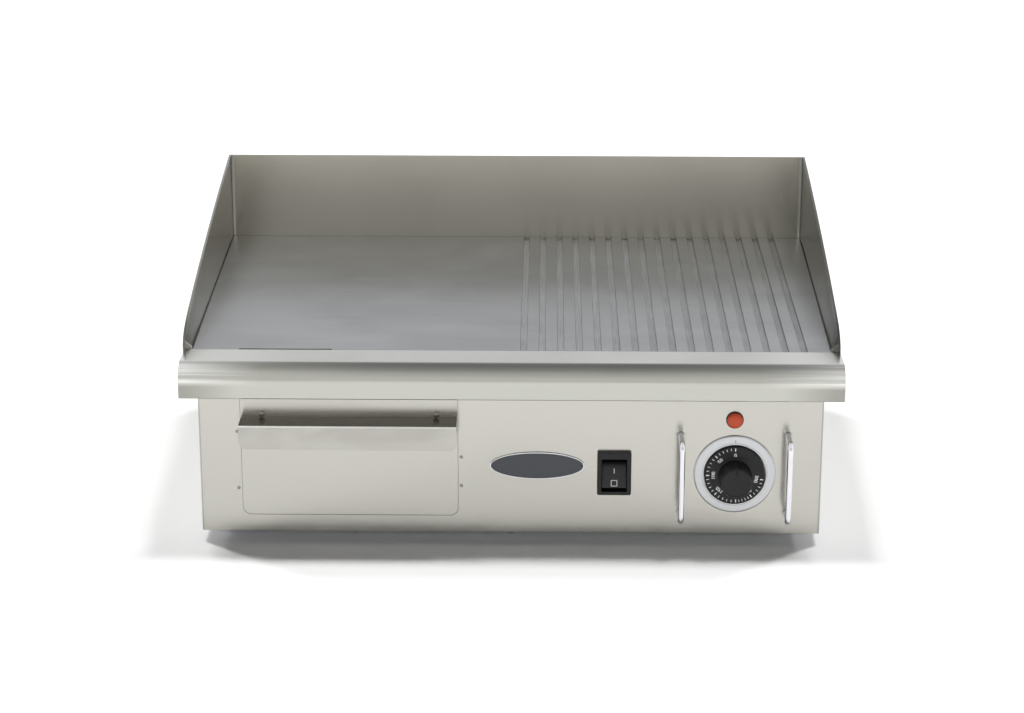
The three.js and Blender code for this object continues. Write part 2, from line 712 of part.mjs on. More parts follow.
barPlaces().forEach((x, i) => {
  const side = i === 0 ? "left" : "right";
  add(`${side}_guard_bar`, guardBarGeometry(x), chrome);
  add(`${side}_bar_nut_lower`, barNutGeometry(x, DIAL.z - BAR_LEG), zincSteel);
  add(`${side}_bar_nut_upper`, barNutGeometry(x, DIAL.z + BAR_LEG), zincSteel);
});

// ---- Switch, lamp and badge ----

function switchHousingGeometry() {
  const { x, z, width, height, lap, flange, depth, well } = SWITCH;
  const face = PANEL - GAP;
  const bodySide = width / 2 - lap - GAP;
  const bodyRise = height / 2 - lap - GAP;
  const windowSide = ROCKER.width / 2 + GAP;
  const windowLow = z - ROCKER.drop - ROCKER.window / 2;
  return cut(
    join(
      block([x - width / 2, x + width / 2], [face - flange, face], [z - height / 2, z + height / 2]),
      block([x - bodySide, x + bodySide], [face - 1, face + depth], [z - bodyRise, z + bodyRise]),
    ),
    block(
      [x - windowSide, x + windowSide],
      [face - 5, face + well],
      [windowLow, windowLow + ROCKER.window],
    ),
  );
}

// The rocker is drawn level about its pivot, in Y and Z, and then tilted top side in. Its upper
// half is scooped out for a finger.
function rockerGeometry() {
  const half = ROCKER.height / 2;
  const section = outline([
    [-ROCKER.pivot + 4, half],
    [-ROCKER.pivot, 1],
    [-ROCKER.pivot - 0.6, -half],
    [-2, -half + 1],
    [4, -5],
    [4, 5],
    [1.5, half - 1],
  ]);
  return alongX(section, [-ROCKER.width / 2, ROCKER.width / 2]);
}

function lampBodyGeometry() {
  const face = PANEL - GAP;
  return join(
    rodY(LAMP.bezel, [face - LAMP.rim, face], LAMP.x, LAMP.z),
    rodY(LAMP.body, [face - LAMP.rim / 2, face + LAMP.depth], LAMP.x, LAMP.z),
  );
}

function lampLensGeometry() {
  const back = PANEL - GAP - LAMP.rim - GAP;
  const front = back - LAMP.dome;
  const profile = [[0, front], [4, front + 0.4], [LAMP.lens - 0.6, front + 1.2],
    [LAMP.lens, front + 2.2], [LAMP.lens, back], [0, back]];
  return turnedY(profile, LAMP.x, LAMP.z);
}

function badgeGeometry() {
  const shape = new THREE.Shape();
  shape.absellipse(BADGE.x, BADGE.z, BADGE.width / 2, BADGE.height / 2, 0, 2 * Math.PI);
  return alongY(shape, [PANEL - GAP - BADGE.thick, PANEL - GAP], 14);
}

add("switch_housing", switchHousingGeometry(), blackPlastic);
const rocker = add("switch_rocker", rockerGeometry(), blackPlastic);
rocker.position.set(SWITCH.x, PANEL + ROCKER.pivot, SWITCH.z - ROCKER.drop);
rocker.rotation.x = THREE.MathUtils.degToRad(-ROCKER.tilt);
add("lamp_body", lampBodyGeometry(), blackPlastic);
add("lamp_lens", lampLensGeometry(), redLens);
add("badge_plate", badgeGeometry(), badgeSlate);

// ---- Mains connection at the rear ----

function glandGeometry() {
  const { x, z, bore, thread, threadIn, flange, hex, reach } = GLAND;
  const outside = REAR + GAP;
  return cut(
    join(
      hexagonY(2 * flange, [outside, outside + hex], x, z),
      rodY(flange - 2, [outside + hex - 1, outside + reach], x, z),
      rodY(thread, [REAR - SHEET - threadIn, outside + 1], x, z),
    ),
    rodY(bore, [REAR - 30, REAR + 30], x, z),
  );
}

function glandNutGeometry() {
  const y = [REAR - SHEET - GAP - GLAND.nut, REAR - SHEET - GAP];
  const hole = rodY(GLAND.thread + GAP, [y[0] - 1, y[1] + 1], GLAND.x, GLAND.z);
  return cut(hexagonY(2 * GLAND.flange, y, GLAND.x, GLAND.z), hole);
}

// The bonding terminal: a hex-headed screw from inside, with a nut against the rear panel.
function bondingScrewGeometry() {
  const inside = REAR - SHEET - GAP;
  return join(
    hexagonY(BONDING.flats, [inside - BONDING.head, inside], BONDING.x, BONDING.z),
    rodY(BONDING.radius, [inside - 1, REAR + BONDING.reach], BONDING.x, BONDING.z, 12),
  );
}

function bondingNutGeometry() {
  const y = [REAR + GAP, REAR + GAP + BONDING.nut];
  const hole = rodY(BONDING.radius + GAP, [y[0] - 1, y[1] + 1], BONDING.x, BONDING.z, 12);
  return cut(hexagonY(BONDING.flats, y, BONDING.x, BONDING.z), hole);
}

function terminalBlockGeometry() {
  const low = FLOOR_TOP + GAP;
  const top = low + TERMINALS.height;
  const hole = [top - TERMINALS.holeDepth, top + 1];
  const ways = TERMINAL_WAYS.x.flatMap((x) =>
    TERMINAL_WAYS.y.map((y) => rodZ(TERMINALS.hole, hole, x, y, 6)));
  return cut(block(TERMINALS.x, TERMINALS.y, [low, top]), ...ways);
}

add("cable_gland", glandGeometry(), blackPlastic);
add("gland_nut", glandNutGeometry(), blackPlastic);
add("bonding_screw", bondingScrewGeometry(), zincSteel);
add("bonding_nut", bondingNutGeometry(), zincSteel);
add("terminal_block", terminalBlockGeometry(), creamPlastic);

// ---- Origin ----

// The box runs from the front of the guard bars to the back of the rear guard.
const boxFront = PANEL - BAR.reach;
const boxBack = PLATE.depth + GUARD.sheet;
griddle.position.y = -(boxFront + boxBack) / 2;

export default griddle;
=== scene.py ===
"""Looks of a countertop electric griddle: sheet-metal housing, half-ribbed plate, drawer and controls.

Shapes are drawn in millimetres with y = 0 at the front edge of the plate, x to the right, y to the
back and z up from the worktop. `piece` brings them into the shared frame, in metres.
"""

import math
from collections import namedtuple

import bmesh
import bpy
from mathutils import Matrix, Vector


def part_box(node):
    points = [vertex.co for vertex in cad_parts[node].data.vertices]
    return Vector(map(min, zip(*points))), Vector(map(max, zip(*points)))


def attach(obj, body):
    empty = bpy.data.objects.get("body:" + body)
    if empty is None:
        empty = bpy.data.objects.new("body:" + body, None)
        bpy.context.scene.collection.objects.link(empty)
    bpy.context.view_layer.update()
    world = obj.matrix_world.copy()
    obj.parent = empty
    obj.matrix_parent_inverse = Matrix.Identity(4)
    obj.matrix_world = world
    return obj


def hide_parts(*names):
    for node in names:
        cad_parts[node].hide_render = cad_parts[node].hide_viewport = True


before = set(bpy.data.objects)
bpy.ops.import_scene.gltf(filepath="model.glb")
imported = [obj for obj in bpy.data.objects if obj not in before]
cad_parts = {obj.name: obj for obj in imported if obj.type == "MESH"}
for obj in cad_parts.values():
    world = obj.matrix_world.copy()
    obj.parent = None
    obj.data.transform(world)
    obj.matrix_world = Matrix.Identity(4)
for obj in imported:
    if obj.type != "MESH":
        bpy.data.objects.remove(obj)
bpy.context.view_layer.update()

# ---- Places, read from the frame ----

FRONT_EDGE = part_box("griddle_plate")[0].y
TO_ROW = Matrix.Translation((0, FRONT_EDGE, 0)) @ Matrix.Scale(0.001, 4)
TO_LOCAL = TO_ROW.inverted()


def span(node):
    """Lowest and highest corner of a CAD node, in local millimetres."""
    low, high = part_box(node)
    return TO_LOCAL @ low, TO_LOCAL @ high


def middle(node):
    low, high = span(node)
    return (low + high) / 2


PLATE_LOW, PLATE_HIGH = span("griddle_plate")
REAR_LOW, REAR_HIGH = span("rear_splash_guard")
RAIL_LOW = span("front_rail")[0]
PANEL_LOW, PANEL_HIGH = span("front_panel")
BACK_HIGH = span("rear_panel")[1]
FLOOR_LOW = span("bottom_plate")[0]
DRAWER_LOW, DRAWER_HIGH = span("drawer_front")
HANDLE_LOW, HANDLE_HIGH = span("drawer_handle")
KNOB_LOW, KNOB_HIGH = span("control_knob")
BEZEL_LOW, BEZEL_HIGH = span("dial_bezel")
SWITCH_LOW, SWITCH_HIGH = span("switch_housing")
LENS_LOW, LENS_HIGH = span("lamp_lens")
BADGE_LOW, BADGE_HIGH = span("badge_plate")
DIAL = middle("dial_bezel")
SWITCH = middle("switch_housing")
LAMP = middle("lamp_lens")
BADGE = middle("badge_plate")

TOP = PLATE_HIGH.z
HALF_WIDTH = REAR_HIGH.x
PANEL = PANEL_LOW.y
GAP = 0.3
SHEET = 1.2

# ---- Driving dimensions of the detail, in millimetres ----

GROOVES = {"count": 16, "pitch": 15.65, "first": 10.3, "top": 3.0, "bottom": 2.5, "depth": 2.2}
DRAIN = {"left": -228, "right": -150, "depth": 3}
PLATE_FRONT_HALF = 266.6
GUARD = {"sheet": 2, "shoulder_y": 57, "shoulder_rise": 26.6, "seam": 0.9}
RAIL = {"left": -273.6, "right": 275, "strip": 30, "radius": 15, "sheet": 1.5, "end_round": 4.5,
        "hem": 1.4}
DRAWER = {"corner": 7, "gap": 0.16}
BEND = 2.0


# ---- Shapes in local millimetres ----

AXES = {
    "x": lambda u, v, w: (w, u, v),
    "y": lambda u, v, w: (u, w, v),
    "z": lambda u, v, w: (u, v, w),
}


def arc(centre_u, centre_v, radius, start, end, steps=8):
    """Points on an arc, from one angle to another, in degrees."""
    angles = [math.radians(start + (end - start) * i / steps) for i in range(steps + 1)]
    return [(centre_u + radius * math.cos(a), centre_v + radius * math.sin(a)) for a in angles]


def bezier(points, steps=24):
    """Points on a Bezier curve of any degree."""
    def at(t):
        level = [Vector(p) for p in points]
        while len(level) > 1:
            level = [a.lerp(b, t) for a, b in zip(level, level[1:])]
        return tuple(level[0])
    return [at(i / steps) for i in range(steps + 1)]


def extruded(points, axis, low, high):
    """A closed outline drawn in the other two axes, extruded along one axis."""
    place = AXES[axis]
    bm = bmesh.new()
    near = [bm.verts.new(place(u, v, low)) for u, v in points]
    far = [bm.verts.new(place(u, v, high)) for u, v in points]
    bm.faces.new(near)
    bm.faces.new(far[::-1])
    for i, start in enumerate(near):
        after = (i + 1) % len(near)
        bm.faces.new((start, far[i], far[after], near[after]))
    bmesh.ops.recalc_face_normals(bm, faces=bm.faces)
    return bm


def block(x, y, z):
    return extruded([(x[0], y[0]), (x[1], y[0]), (x[1], y[1]), (x[0], y[1])], "z", *z)


def rounded(u, v, radius, steps=5):
    """A rectangle with round corners; a radius for each corner, from the low left, anticlockwise."""
    radii = radius if isinstance(radius, (list, tuple)) else [radius] * 4
    corners = [(u[0], v[0], 1, 1, 180), (u[1], v[0], -1, 1, 270), (u[1], v[1], -1, -1, 0),
               (u[0], v[1], 1, -1, 90)]
    points = []
    for (cu, cv, su, sv, start), r in zip(corners, radii):
        if r:
            points += arc(cu + su * r, cv + sv * r, r, start, start + 90, steps)
        else:
            points.append((cu, cv))
    return points


def turned(profile, axis, centre, sides=96, ripple=None):
    """A solid of revolution. The profile gives (radius, place along the axis); a radius of 0 is a
    point on the axis. `ripple` may give a change of radius for a profile index and an angle."""
    place = AXES[axis]
    bm = bmesh.new()
    rings = []
    for index, (radius, along) in enumerate(profile):
        if radius == 0:
            rings.append([bm.verts.new(place(centre[0], centre[1], along))])
            continue
        ring = []
        for side in range(sides):
            angle = 2 * math.pi * side / sides
            r = radius + (ripple(index, angle) if ripple else 0)
            u = centre[0] + r * math.cos(angle)
            v = centre[1] + r * math.sin(angle)
            ring.append(bm.verts.new(place(u, v, along)))
        rings.append(ring)
    closed = profile[0][0] != 0 and profile[-1][0] != 0
    pairs = list(zip(rings, rings[1:])) + ([(rings[-1], rings[0])] if closed else [])
    for a, b in pairs:
        for i in range(sides):
            after = (i + 1) % sides
            corners = [a[i % len(a)], a[after % len(a)], b[after % len(b)], b[i % len(b)]]
            bm.faces.new(list(dict.fromkeys(corners)))
    bmesh.ops.recalc_face_normals(bm, faces=bm.faces)
    return bm


def rounded_path(corners, bend, steps=10):
    """A path of straight runs whose corners are arcs of one radius."""
    path = [Vector(corners[0])]
    for before, corner, after in zip(corners, corners[1:], corners[2:]):
        corner = Vector(corner)
        back = (Vector(before) - corner).normalized()
        on = (Vector(after) - corner).normalized()
        half = back.angle(on) / 2
        centre = corner + (back + on).normalized() * bend / math.sin(half)
        start = corner + back * bend / math.tan(half) - centre
        axis = back.cross(on)
        turn = -(math.pi - 2 * half)
        path += [centre + Matrix.Rotation(turn * i / steps, 3, axis) @ start for i in range(steps + 1)]
    return path + [Vector(corners[-1])]


def swept(path, radius, sides=24):
    """A round bar along a path, with flat ends."""
    bm = bmesh.new()
    along = (path[1] - path[0]).normalized()
    across = along.orthogonal().normalized()
    rings = []
    for i, point in enumerate(path):
        before = path[max(i - 1, 0)]
        after = path[min(i + 1, len(path) - 1)]
        heading = (after - before).normalized()
        across = (along.rotation_difference(heading) @ across).normalized()
        along = heading
        other = along.cross(across)
        angles = [2 * math.pi * k / sides for k in range(sides)]
        rings.append([bm.verts.new(point + radius * (across * math.cos(a) + other * math.sin(a)))
                      for a in angles])
    for a, b in zip(rings, rings[1:]):
        for i in range(sides):
            after = (i + 1) % sides
            bm.faces.new((a[i], a[after], b[after], b[i]))
    bm.faces.new(rings[0])
    bm.faces.new(rings[-1])
    bmesh.ops.recalc_face_normals(bm, faces=bm.faces)
    return bm


def lofted(rings):
    """A solid through rings of points that all have the same number of corners, with flat ends."""
    bm = bmesh.new()
    rings = [[bm.verts.new(point) for point in ring] for ring in rings]
    for a, b in zip(rings, rings[1:]):
        for i in range(len(a)):
            after = (i + 1) % len(a)
            bm.faces.new((a[i], a[after], b[after], b[i]))
    bm.faces.new(rings[0])
    bm.faces.new(rings[-1])
    bmesh.ops.recalc_face_normals(bm, faces=bm.faces)
    return bm


def from_cad(node):
    """A CAD node's solid, with its split vertices merged and its flat faces whole."""
    bm = bmesh.new()
    bm.from_mesh(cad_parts[node].data)
    bmesh.ops.transform(bm, matrix=TO_LOCAL, verts=bm.verts)
    tidy(bm)
    return bm


def tidy(bm):
    bmesh.ops.remove_doubles(bm, verts=bm.verts, dist=0.002)
    bmesh.ops.dissolve_limit(bm, angle_limit=math.radians(0.5), verts=bm.verts, edges=bm.edges)
    bmesh.ops.dissolve_degenerate(bm, edges=bm.edges, dist=0.002)


def shape_object(bm):
    mesh = bpy.data.meshes.new("working_shape")
    bm.to_mesh(mesh)
    bm.free()
    obj = bpy.data.objects.new("working_shape", mesh)
    bpy.context.scene.collection.objects.link(obj)
    return obj


def combined(base, others, operation):
    """Cuts, joins or intersects solids, and frees those that went in."""
    target = shape_object(base)
    tools = [shape_object(other) for other in others]
    for tool in tools:
        step = target.modifiers.new("step", "BOOLEAN")
        step.operation = operation
        step.solver = "EXACT"
        step.object = tool
    evaluated = target.evaluated_get(bpy.context.evaluated_depsgraph_get())
    bm = bmesh.new()
    bm.from_mesh(evaluated.to_mesh())
    evaluated.to_mesh_clear()
    for obj in [target, *tools]:
        mesh = obj.data
        bpy.data.objects.remove(obj)
        bpy.data.meshes.remove(mesh)
    tidy(bm)
    return bm


def cut(base, *tools):
    return combined(base, tools, "DIFFERENCE")


def joined(base, *others):
    return combined(base, others, "UNION")


def together(*solids):
    """Separate solids that don't touch, in one mesh."""
    mesh = bpy.data.meshes.new("working_shape")
    bm = bmesh.new()
    for solid in solids:
        solid.to_mesh(mesh)
        solid.free()
        bm.from_mesh(mesh)
    bpy.data.meshes.remove(mesh)
    return bm


def softened(bm, width, segments=2, sharper_than=35, where=None):
    """Rounds the edges that are sharper than an angle, and that `where` accepts."""
    limit = math.radians(sharper_than)
    edges = [e for e in bm.edges if len(e.link_faces) == 2 and e.calc_face_angle(0) > limit
             and (where is None or where(e))]
    bmesh.ops.bevel(bm, geom=edges, offset=width, offset_type="OFFSET", segments=segments,
                    profile=0.5, affect="EDGES", clamp_overlap=True)
    return bm


def sliced(bm, axis, places):
    """Adds cross cuts at these places along an axis, so that the mesh can bend there."""
    for place in places:
        point = AXES[axis](0, 0, place)
        normal = AXES[axis](0, 0, 1)
        geometry = bm.verts[:] + bm.edges[:] + bm.faces[:]
        bmesh.ops.bisect_plane(bm, geom=geometry, plane_co=point, plane_no=normal)
    return bm


def moved(bm, matrix):
    bmesh.ops.transform(bm, matrix=matrix, verts=bm.verts)
    return bm


def lettering(text, size, thick):
    """Raised characters in the X-Z plane that face the front, centred on the origin."""
    curve = bpy.data.curves.new("characters", "FONT")
    curve.body = text
    curve.size = size
    curve.align_x = "CENTER"
    curve.align_y = "CENTER"
    curve.extrude = thick / 2
    curve.offset = size * 0.012
    curve.resolution_u = 4
    obj = bpy.data.objects.new("characters", curve)
    bpy.context.scene.collection.objects.link(obj)
    evaluated = obj.evaluated_get(bpy.context.evaluated_depsgraph_get())
    bm = bmesh.new()
    bm.from_mesh(evaluated.to_mesh())
    evaluated.to_mesh_clear()
    bpy.data.objects.remove(obj)
    bpy.data.curves.remove(curve)
    bmesh.ops.remove_doubles(bm, verts=bm.verts, dist=0.001)
    return moved(bm, Matrix.Rotation(math.radians(90), 4, "X"))


# ---- Materials ----

Look = namedtuple("Look", "material slot")


def shader(name, **values):
    """A material with one Principled shader; the values go straight on its sockets."""
    material = bpy.data.materials.new(name)
    material.use_nodes = True
    tree = material.node_tree
    bsdf = tree.nodes["Principled BSDF"]
    for socket, value in values.items():
        bsdf.inputs[socket.replace("_", " ").title().replace("Ior", "IOR")].default_value = value
    return material, tree, bsdf


def noise(tree, scale, stretch=(1, 1, 1), detail=3, roughness=0.5, distortion=0):
    """A noise value from the object's own coordinates. A small stretch makes it longer that way."""
    place = tree.nodes.new("ShaderNodeTexCoord")
    mapping = tree.nodes.new("ShaderNodeMapping")
    mapping.inputs["Scale"].default_value = stretch
    texture = tree.nodes.new("ShaderNodeTexNoise")
    texture.inputs["Scale"].default_value = scale
    texture.inputs["Detail"].default_value = detail
    texture.inputs["Roughness"].default_value = roughness
    texture.inputs["Distortion"].default_value = distortion
    tree.links.new(place.outputs["Object"], mapping.inputs["Vector"])
    tree.links.new(mapping.outputs["Vector"], texture.inputs["Vector"])
    return texture.outputs["Fac"]


def remap(tree, value, low, high, to_low, to_high):
    node = tree.nodes.new("ShaderNodeMapRange")
    for socket, number in zip(("From Min", "From Max", "To Min", "To Max"),
                              (low, high, to_low, to_high)):
        node.inputs[socket].default_value = number
    tree.links.new(value, node.inputs["Value"])
    return node.outputs["Result"]


def maths(tree, operation, a, b):
    node = tree.nodes.new("ShaderNodeMath")
    node.operation = operation
    for socket, value in zip(node.inputs, (a, b)):
        if isinstance(value, (int, float)):
            socket.default_value = value
        else:
            tree.links.new(value, socket)
    return node.outputs["Value"]


def times(tree, a, b):
    return maths(tree, "MULTIPLY", a, b)


def plus(tree, a, b):
    return maths(tree, "ADD", a, b)


def ramp(tree, value, stops):
    node = tree.nodes.new("ShaderNodeValToRGB")
    elements = node.color_ramp.elements
    while len(elements) < len(stops):
        elements.new(0.5)
    for element, (place, colour) in zip(elements, stops):
        element.position = place
        element.color = (*colour, 1)
    tree.links.new(value, node.inputs["Fac"])
    return node.outputs["Color"]


def bump(tree, bsdf, height, strength, distance=0.0002):
    node = tree.nodes.new("ShaderNodeBump")
    node.inputs["Strength"].default_value = strength
    node.inputs["Distance"].default_value = distance
    tree.links.new(height, node.inputs["Height"])
    tree.links.new(node.outputs["Normal"], bsdf.inputs["Normal"])


def blended(tree, mask, below, above):
    """Goes from one colour or socket to another as the mask goes from 0 to 1."""
    node = tree.nodes.new("ShaderNodeMix")
    node.data_type = "RGBA"
    tree.links.new(mask, node.inputs["Factor"])
    for socket, value in ((node.inputs[6], below), (node.inputs[7], above)):
        if isinstance(value, tuple):
            socket.default_value = (*value, 1)
        else:
            tree.links.new(value, socket)
    return node.outputs[2]


def scaled(tree, colour, factor):
    """A colour times a value."""
    node = tree.nodes.new("ShaderNodeVectorMath")
    node.operation = "SCALE"
    tree.links.new(colour, node.inputs["Vector"])
    tree.links.new(factor, node.inputs["Scale"])
    return node.outputs["Vector"]


def toned(tree, colour, mask, tone):
    """A colour times a tone where the mask is 1."""
    return scaled(tree, colour, remap(tree, mask, 0, 1, 1, tone))


def coordinate(tree, axis, kind="Object"):
    """One coordinate of the place on the object, in metres, or of its normal."""
    place = tree.nodes.new("ShaderNodeTexCoord")
    split = tree.nodes.new("ShaderNodeSeparateXYZ")
    tree.links.new(place.outputs[kind], split.inputs["Vector"])
    return split.outputs[axis.upper()]


def above_height(tree, low, high):
    """A mask that goes from 0 to 1 between two heights in millimetres."""
    return remap(tree, coordinate(tree, "z"), low / 1000, high / 1000, 0, 1)


def grain_along(axis, short=0.012):
    """The stretch that turns even noise into brushing lines along an axis."""
    return tuple(short if a == axis else 1 for a in "xyz")


def brushed(name, slot, colour, dark, axis, roughness, anisotropy, line=0.02, smear=0.02, wear_and_painted_light=None):
    """Brushed metal: fine lines along an axis, and reflections that spread across the lines. The function
    given last may change the colour and the roughness; those used here add painted light and shade, and on
    the plate real grease and grit."""
    material, tree, bsdf = shader(name, metallic=1.0, anisotropic=anisotropy,
                                  anisotropic_rotation=0.25)
    lines = noise(tree, 2600, grain_along(axis, 0.006), detail=3, roughness=0.5)
    bands = noise(tree, 60, grain_along(axis, 0.05), detail=3)
    clouds = noise(tree, 9, detail=2, distortion=0.4)
    mixed = plus(tree, times(tree, lines, 0.4),
                 plus(tree, times(tree, bands, 0.25), times(tree, clouds, 0.35)))
    tint = ramp(tree, mixed, [(0.3, dark), (0.7, colour)])
    spread = plus(tree, remap(tree, lines, 0.3, 0.7, -line, line),
                  remap(tree, clouds, 0.3, 0.7, roughness - smear, roughness + smear))
    if wear_and_painted_light:
        tint, spread = wear_and_painted_light(tree, tint, spread)
    tree.links.new(tint, bsdf.inputs["Base Color"])
    tree.links.new(spread, bsdf.inputs["Roughness"])
    bump(tree, bsdf, lines, 0.12, 0.00003)
    tangent = tree.nodes.new("ShaderNodeCombineXYZ")
    tangent.inputs[axis.upper()].default_value = 1
    tree.links.new(tangent.outputs["Vector"], bsdf.inputs["Tangent"])
    return Look(material, slot)


def plain_metal(name, slot, colour, roughness, scale=300, amount=0.05, relief=0.05):
    """Drawn, plated or polished metal, with a little mottling."""
    material, tree, bsdf = shader(name, base_color=(*colour, 1), metallic=1.0)
    mottle = noise(tree, scale, detail=3)
    tree.links.new(remap(tree, mottle, 0.3, 0.7, roughness - amount, roughness + amount),
                   bsdf.inputs["Roughness"])
    bump(tree, bsdf, mottle, relief)
    return Look(material, slot)


def moulded(name, slot, colour, roughness, scale=900, relief=0.15, **values):
    """Moulded plastic, rubber or board: one colour with a fine grain."""
    material, tree, bsdf = shader(name, base_color=(*colour, 1), **values)
    grain = noise(tree, scale, detail=2)
    tree.links.new(remap(tree, grain, 0.3, 0.7, roughness - 0.06, roughness + 0.06),
                   bsdf.inputs["Roughness"])
    bump(tree, bsdf, grain, relief, 0.0001)
    return Look(material, slot)


# Where the painted highlights and painted shade towards the rail's ends start and are full, in metres from
# the middle.
RAIL_HIGHLIGHT_SPAN = (0.205, 0.268)
RAIL_SHADE_SPAN = (0.225, 0.268)
STRIP_HIGHLIGHT_SPAN = (0.18, 0.265)
# The rail's nose, in millimetres below the plate's top: its foot, its middle and its upper edge.
NOSE_FOOT = (18, 11)
NOSE_MIDDLE = (14, 10)
NOSE_CROWN = (2, 6)
NOSE_EDGE = (0.1, 1.2)


def below_top(tree, depths):
    """From 0 to 1 between two depths below the plate's top, in millimetres."""
    first, last = depths
    return above_height(tree, TOP - first, TOP - last)


# How far the surface has turned to the side where a bend's painted shade sets in, and where it ends.
BEND_SHADE = {"starts": (0.12, 0.35), "ends": (0.93, 1.0), "tone": 0.72}


def seamed(tree, tint, roughness):
    """Painted shade: a darker tone where a sheet bends round a corner."""
    turned_away = maths(tree, "ABSOLUTE", coordinate(tree, "x", "Normal"), 0)
    into_bend = remap(tree, turned_away, *BEND_SHADE["starts"], 0, 1)
    past_bend = remap(tree, turned_away, *BEND_SHADE["ends"], 1, 0)
    return toned(tree, tint, times(tree, into_bend, past_bend), BEND_SHADE["tone"]), roughness


# How far a face turns to count as the rail's end or its strip, and the tones of the rail's painted light:
# shade on the face below the nose, highlights on the nose's middle and the strip's ends, and the colour of
# the highlight streaks.
RAIL_FACING = {"end": (0.3, 0.6), "strip": (0.9, 0.98)}
RAIL_TONE = {"shaded_face": 0.66, "nose": 1.24, "strip": 1.22, "highlighted": (0.93, 0.92, 0.89)}
HIGHLIGHT_SMOOTHER = 0.05


def polished_ends(tree, tint, roughness):
    """Painted highlights: bright, slightly smoother streaks on the rail's nose and a lighter strip towards
    both ends, and a lighter band along the nose's middle. Painted shade: a darker face below, towards both
    ends.
    """
    away = maths(tree, "ABSOLUTE", coordinate(tree, "x"), 0)
    near_end = remap(tree, away, *RAIL_HIGHLIGHT_SPAN, 0, 1)
    nose_low = below_top(tree, NOSE_FOOT)
    on_nose = times(tree, nose_low, below_top(tree, NOSE_EDGE))
    streaks = remap(tree, noise(tree, 420, (0.015, 1, 1), detail=2, distortion=0.1), 0.38, 0.6, 0.35, 1)
    on_bend = times(tree, near_end, on_nose)
    end_face = maths(tree, "ABSOLUTE", coordinate(tree, "x", "Normal"), 0)
    along_rail = times(tree, on_bend, remap(tree, end_face, *RAIL_FACING["end"], 1, 0))
    mask = times(tree, along_rail, streaks)
    off_nose = remap(tree, nose_low, 0, 1, 1, 0)
    below = times(tree, remap(tree, away, *RAIL_SHADE_SPAN, 0, 1), off_nose)
    face = toned(tree, tint, below, RAIL_TONE["shaded_face"])
    nose_mid = times(tree, below_top(tree, NOSE_MIDDLE), below_top(tree, NOSE_CROWN))
    face = toned(tree, face, nose_mid, RAIL_TONE["nose"])
    strip = remap(tree, coordinate(tree, "z", "Normal"), *RAIL_FACING["strip"], 0, 1)
    strip_end = times(tree, strip, remap(tree, away, *STRIP_HIGHLIGHT_SPAN, 0, 1))
    face = toned(tree, face, strip_end, RAIL_TONE["strip"])
    smooth = remap(tree, mask, 0, 1, 0, -HIGHLIGHT_SMOOTHER)
    highlit = blended(tree, mask, face, RAIL_TONE["highlighted"])
    return highlit, plus(tree, roughness, smooth)


# Painted shade on the side guards: their front edge, by how far it faces forwards, and the right-hand
# guard, in metres from the middle.
GUARD_SHADE = {"front": (-0.35, -0.20), "front_tone": 0.5, "right": (-0.05, 0.05), "right_tone": 0.50}


def side_shaded(tree, tint, roughness):
    """Painted shade: a darker front edge on each side guard, and a darker tone on the right-hand one."""
    facing_front = remap(tree, coordinate(tree, "y", "Normal"), *GUARD_SHADE["front"],
                         GUARD_SHADE["front_tone"], 1)
    right_side = remap(tree, coordinate(tree, "x"), *GUARD_SHADE["right"], 1, GUARD_SHADE["right_tone"])
    shade = times(tree, facing_front, right_side)
    return scaled(tree, tint, shade), roughness


# How far up the handle's flange and bend face, the colours of the painted shade on the flange and of the
# painted highlight on the bend, and the lip's tones between lighter and darker random patches, a painted
# shade.
HANDLE_FACING = {"flange": (0.90, 0.985), "bend_from": (0.10, 0.35), "bend_to": (0.80, 0.90)}
FLANGE_SHADE_COLOUR = (0.165, 0.150, 0.120)
BEND_HIGHLIGHT_COLOUR = (0.95, 0.94, 0.90)
LIP_SHADE_TONES = (0.90, 0.80)


def handled(tree, tint, roughness):
    """Painted light on the handle: shade on the flange, a highlight on the bend, and a lip darkened all
    over in random patches.
    """
    up = coordinate(tree, "z", "Normal")
    flange = remap(tree, up, *HANDLE_FACING["flange"], 0, 1)
    bend = times(tree, remap(tree, up, *HANDLE_FACING["bend_from"], 0, 1),
                 remap(tree, up, *HANDLE_FACING["bend_to"], 1, 0))
    lip_shade = remap(tree, noise(tree, 26, (0.5, 1, 1), detail=3, distortion=1.2), 0.42, 0.62, *LIP_SHADE_TONES)
    lip = scaled(tree, tint, lip_shade)
    highlit = blended(tree, bend, lip, BEND_HIGHLIGHT_COLOUR)
    return blended(tree, flange, highlit, FLANGE_SHADE_COLOUR), roughness


# The plate's grease and grime, and painted shade in its grooves and its back-left corner. Depths are in
# millimetres below its top; places are in metres, with Y measured from its front edge.
FILM_DEPTH = (0.3, 1.6)
GRIME_FROM = (0.341, 0.347)
# Painted shade in the back-left corner, where the side and rear guards meet the plate.
CORNER_SHADE = {"x": (-0.262, -0.240), "y": (0.27, 0.34), "colour": (0.24, 0.19, 0.15), "amount": 0.22}
# Painted shade: the grooves darken towards the right.
GROOVE_SHADE_RIGHT = {"x": (0.05, 0.24), "tone": 0.78}
PATCHES = (0.93, 1.05)
GRIT = (0.96, 1.20)
GRIME = (1, 0.5)
SCRATCH_ROUGHER = 0.12
FILM_ROUGHER = 0.12


def behind_front(tree, places):
    """A mask that goes from 0 to 1 between two distances behind the plate's front edge."""
    near, far = places
    return remap(tree, coordinate(tree, "y"), FRONT_EDGE + near, FRONT_EDGE + far, 0, 1)


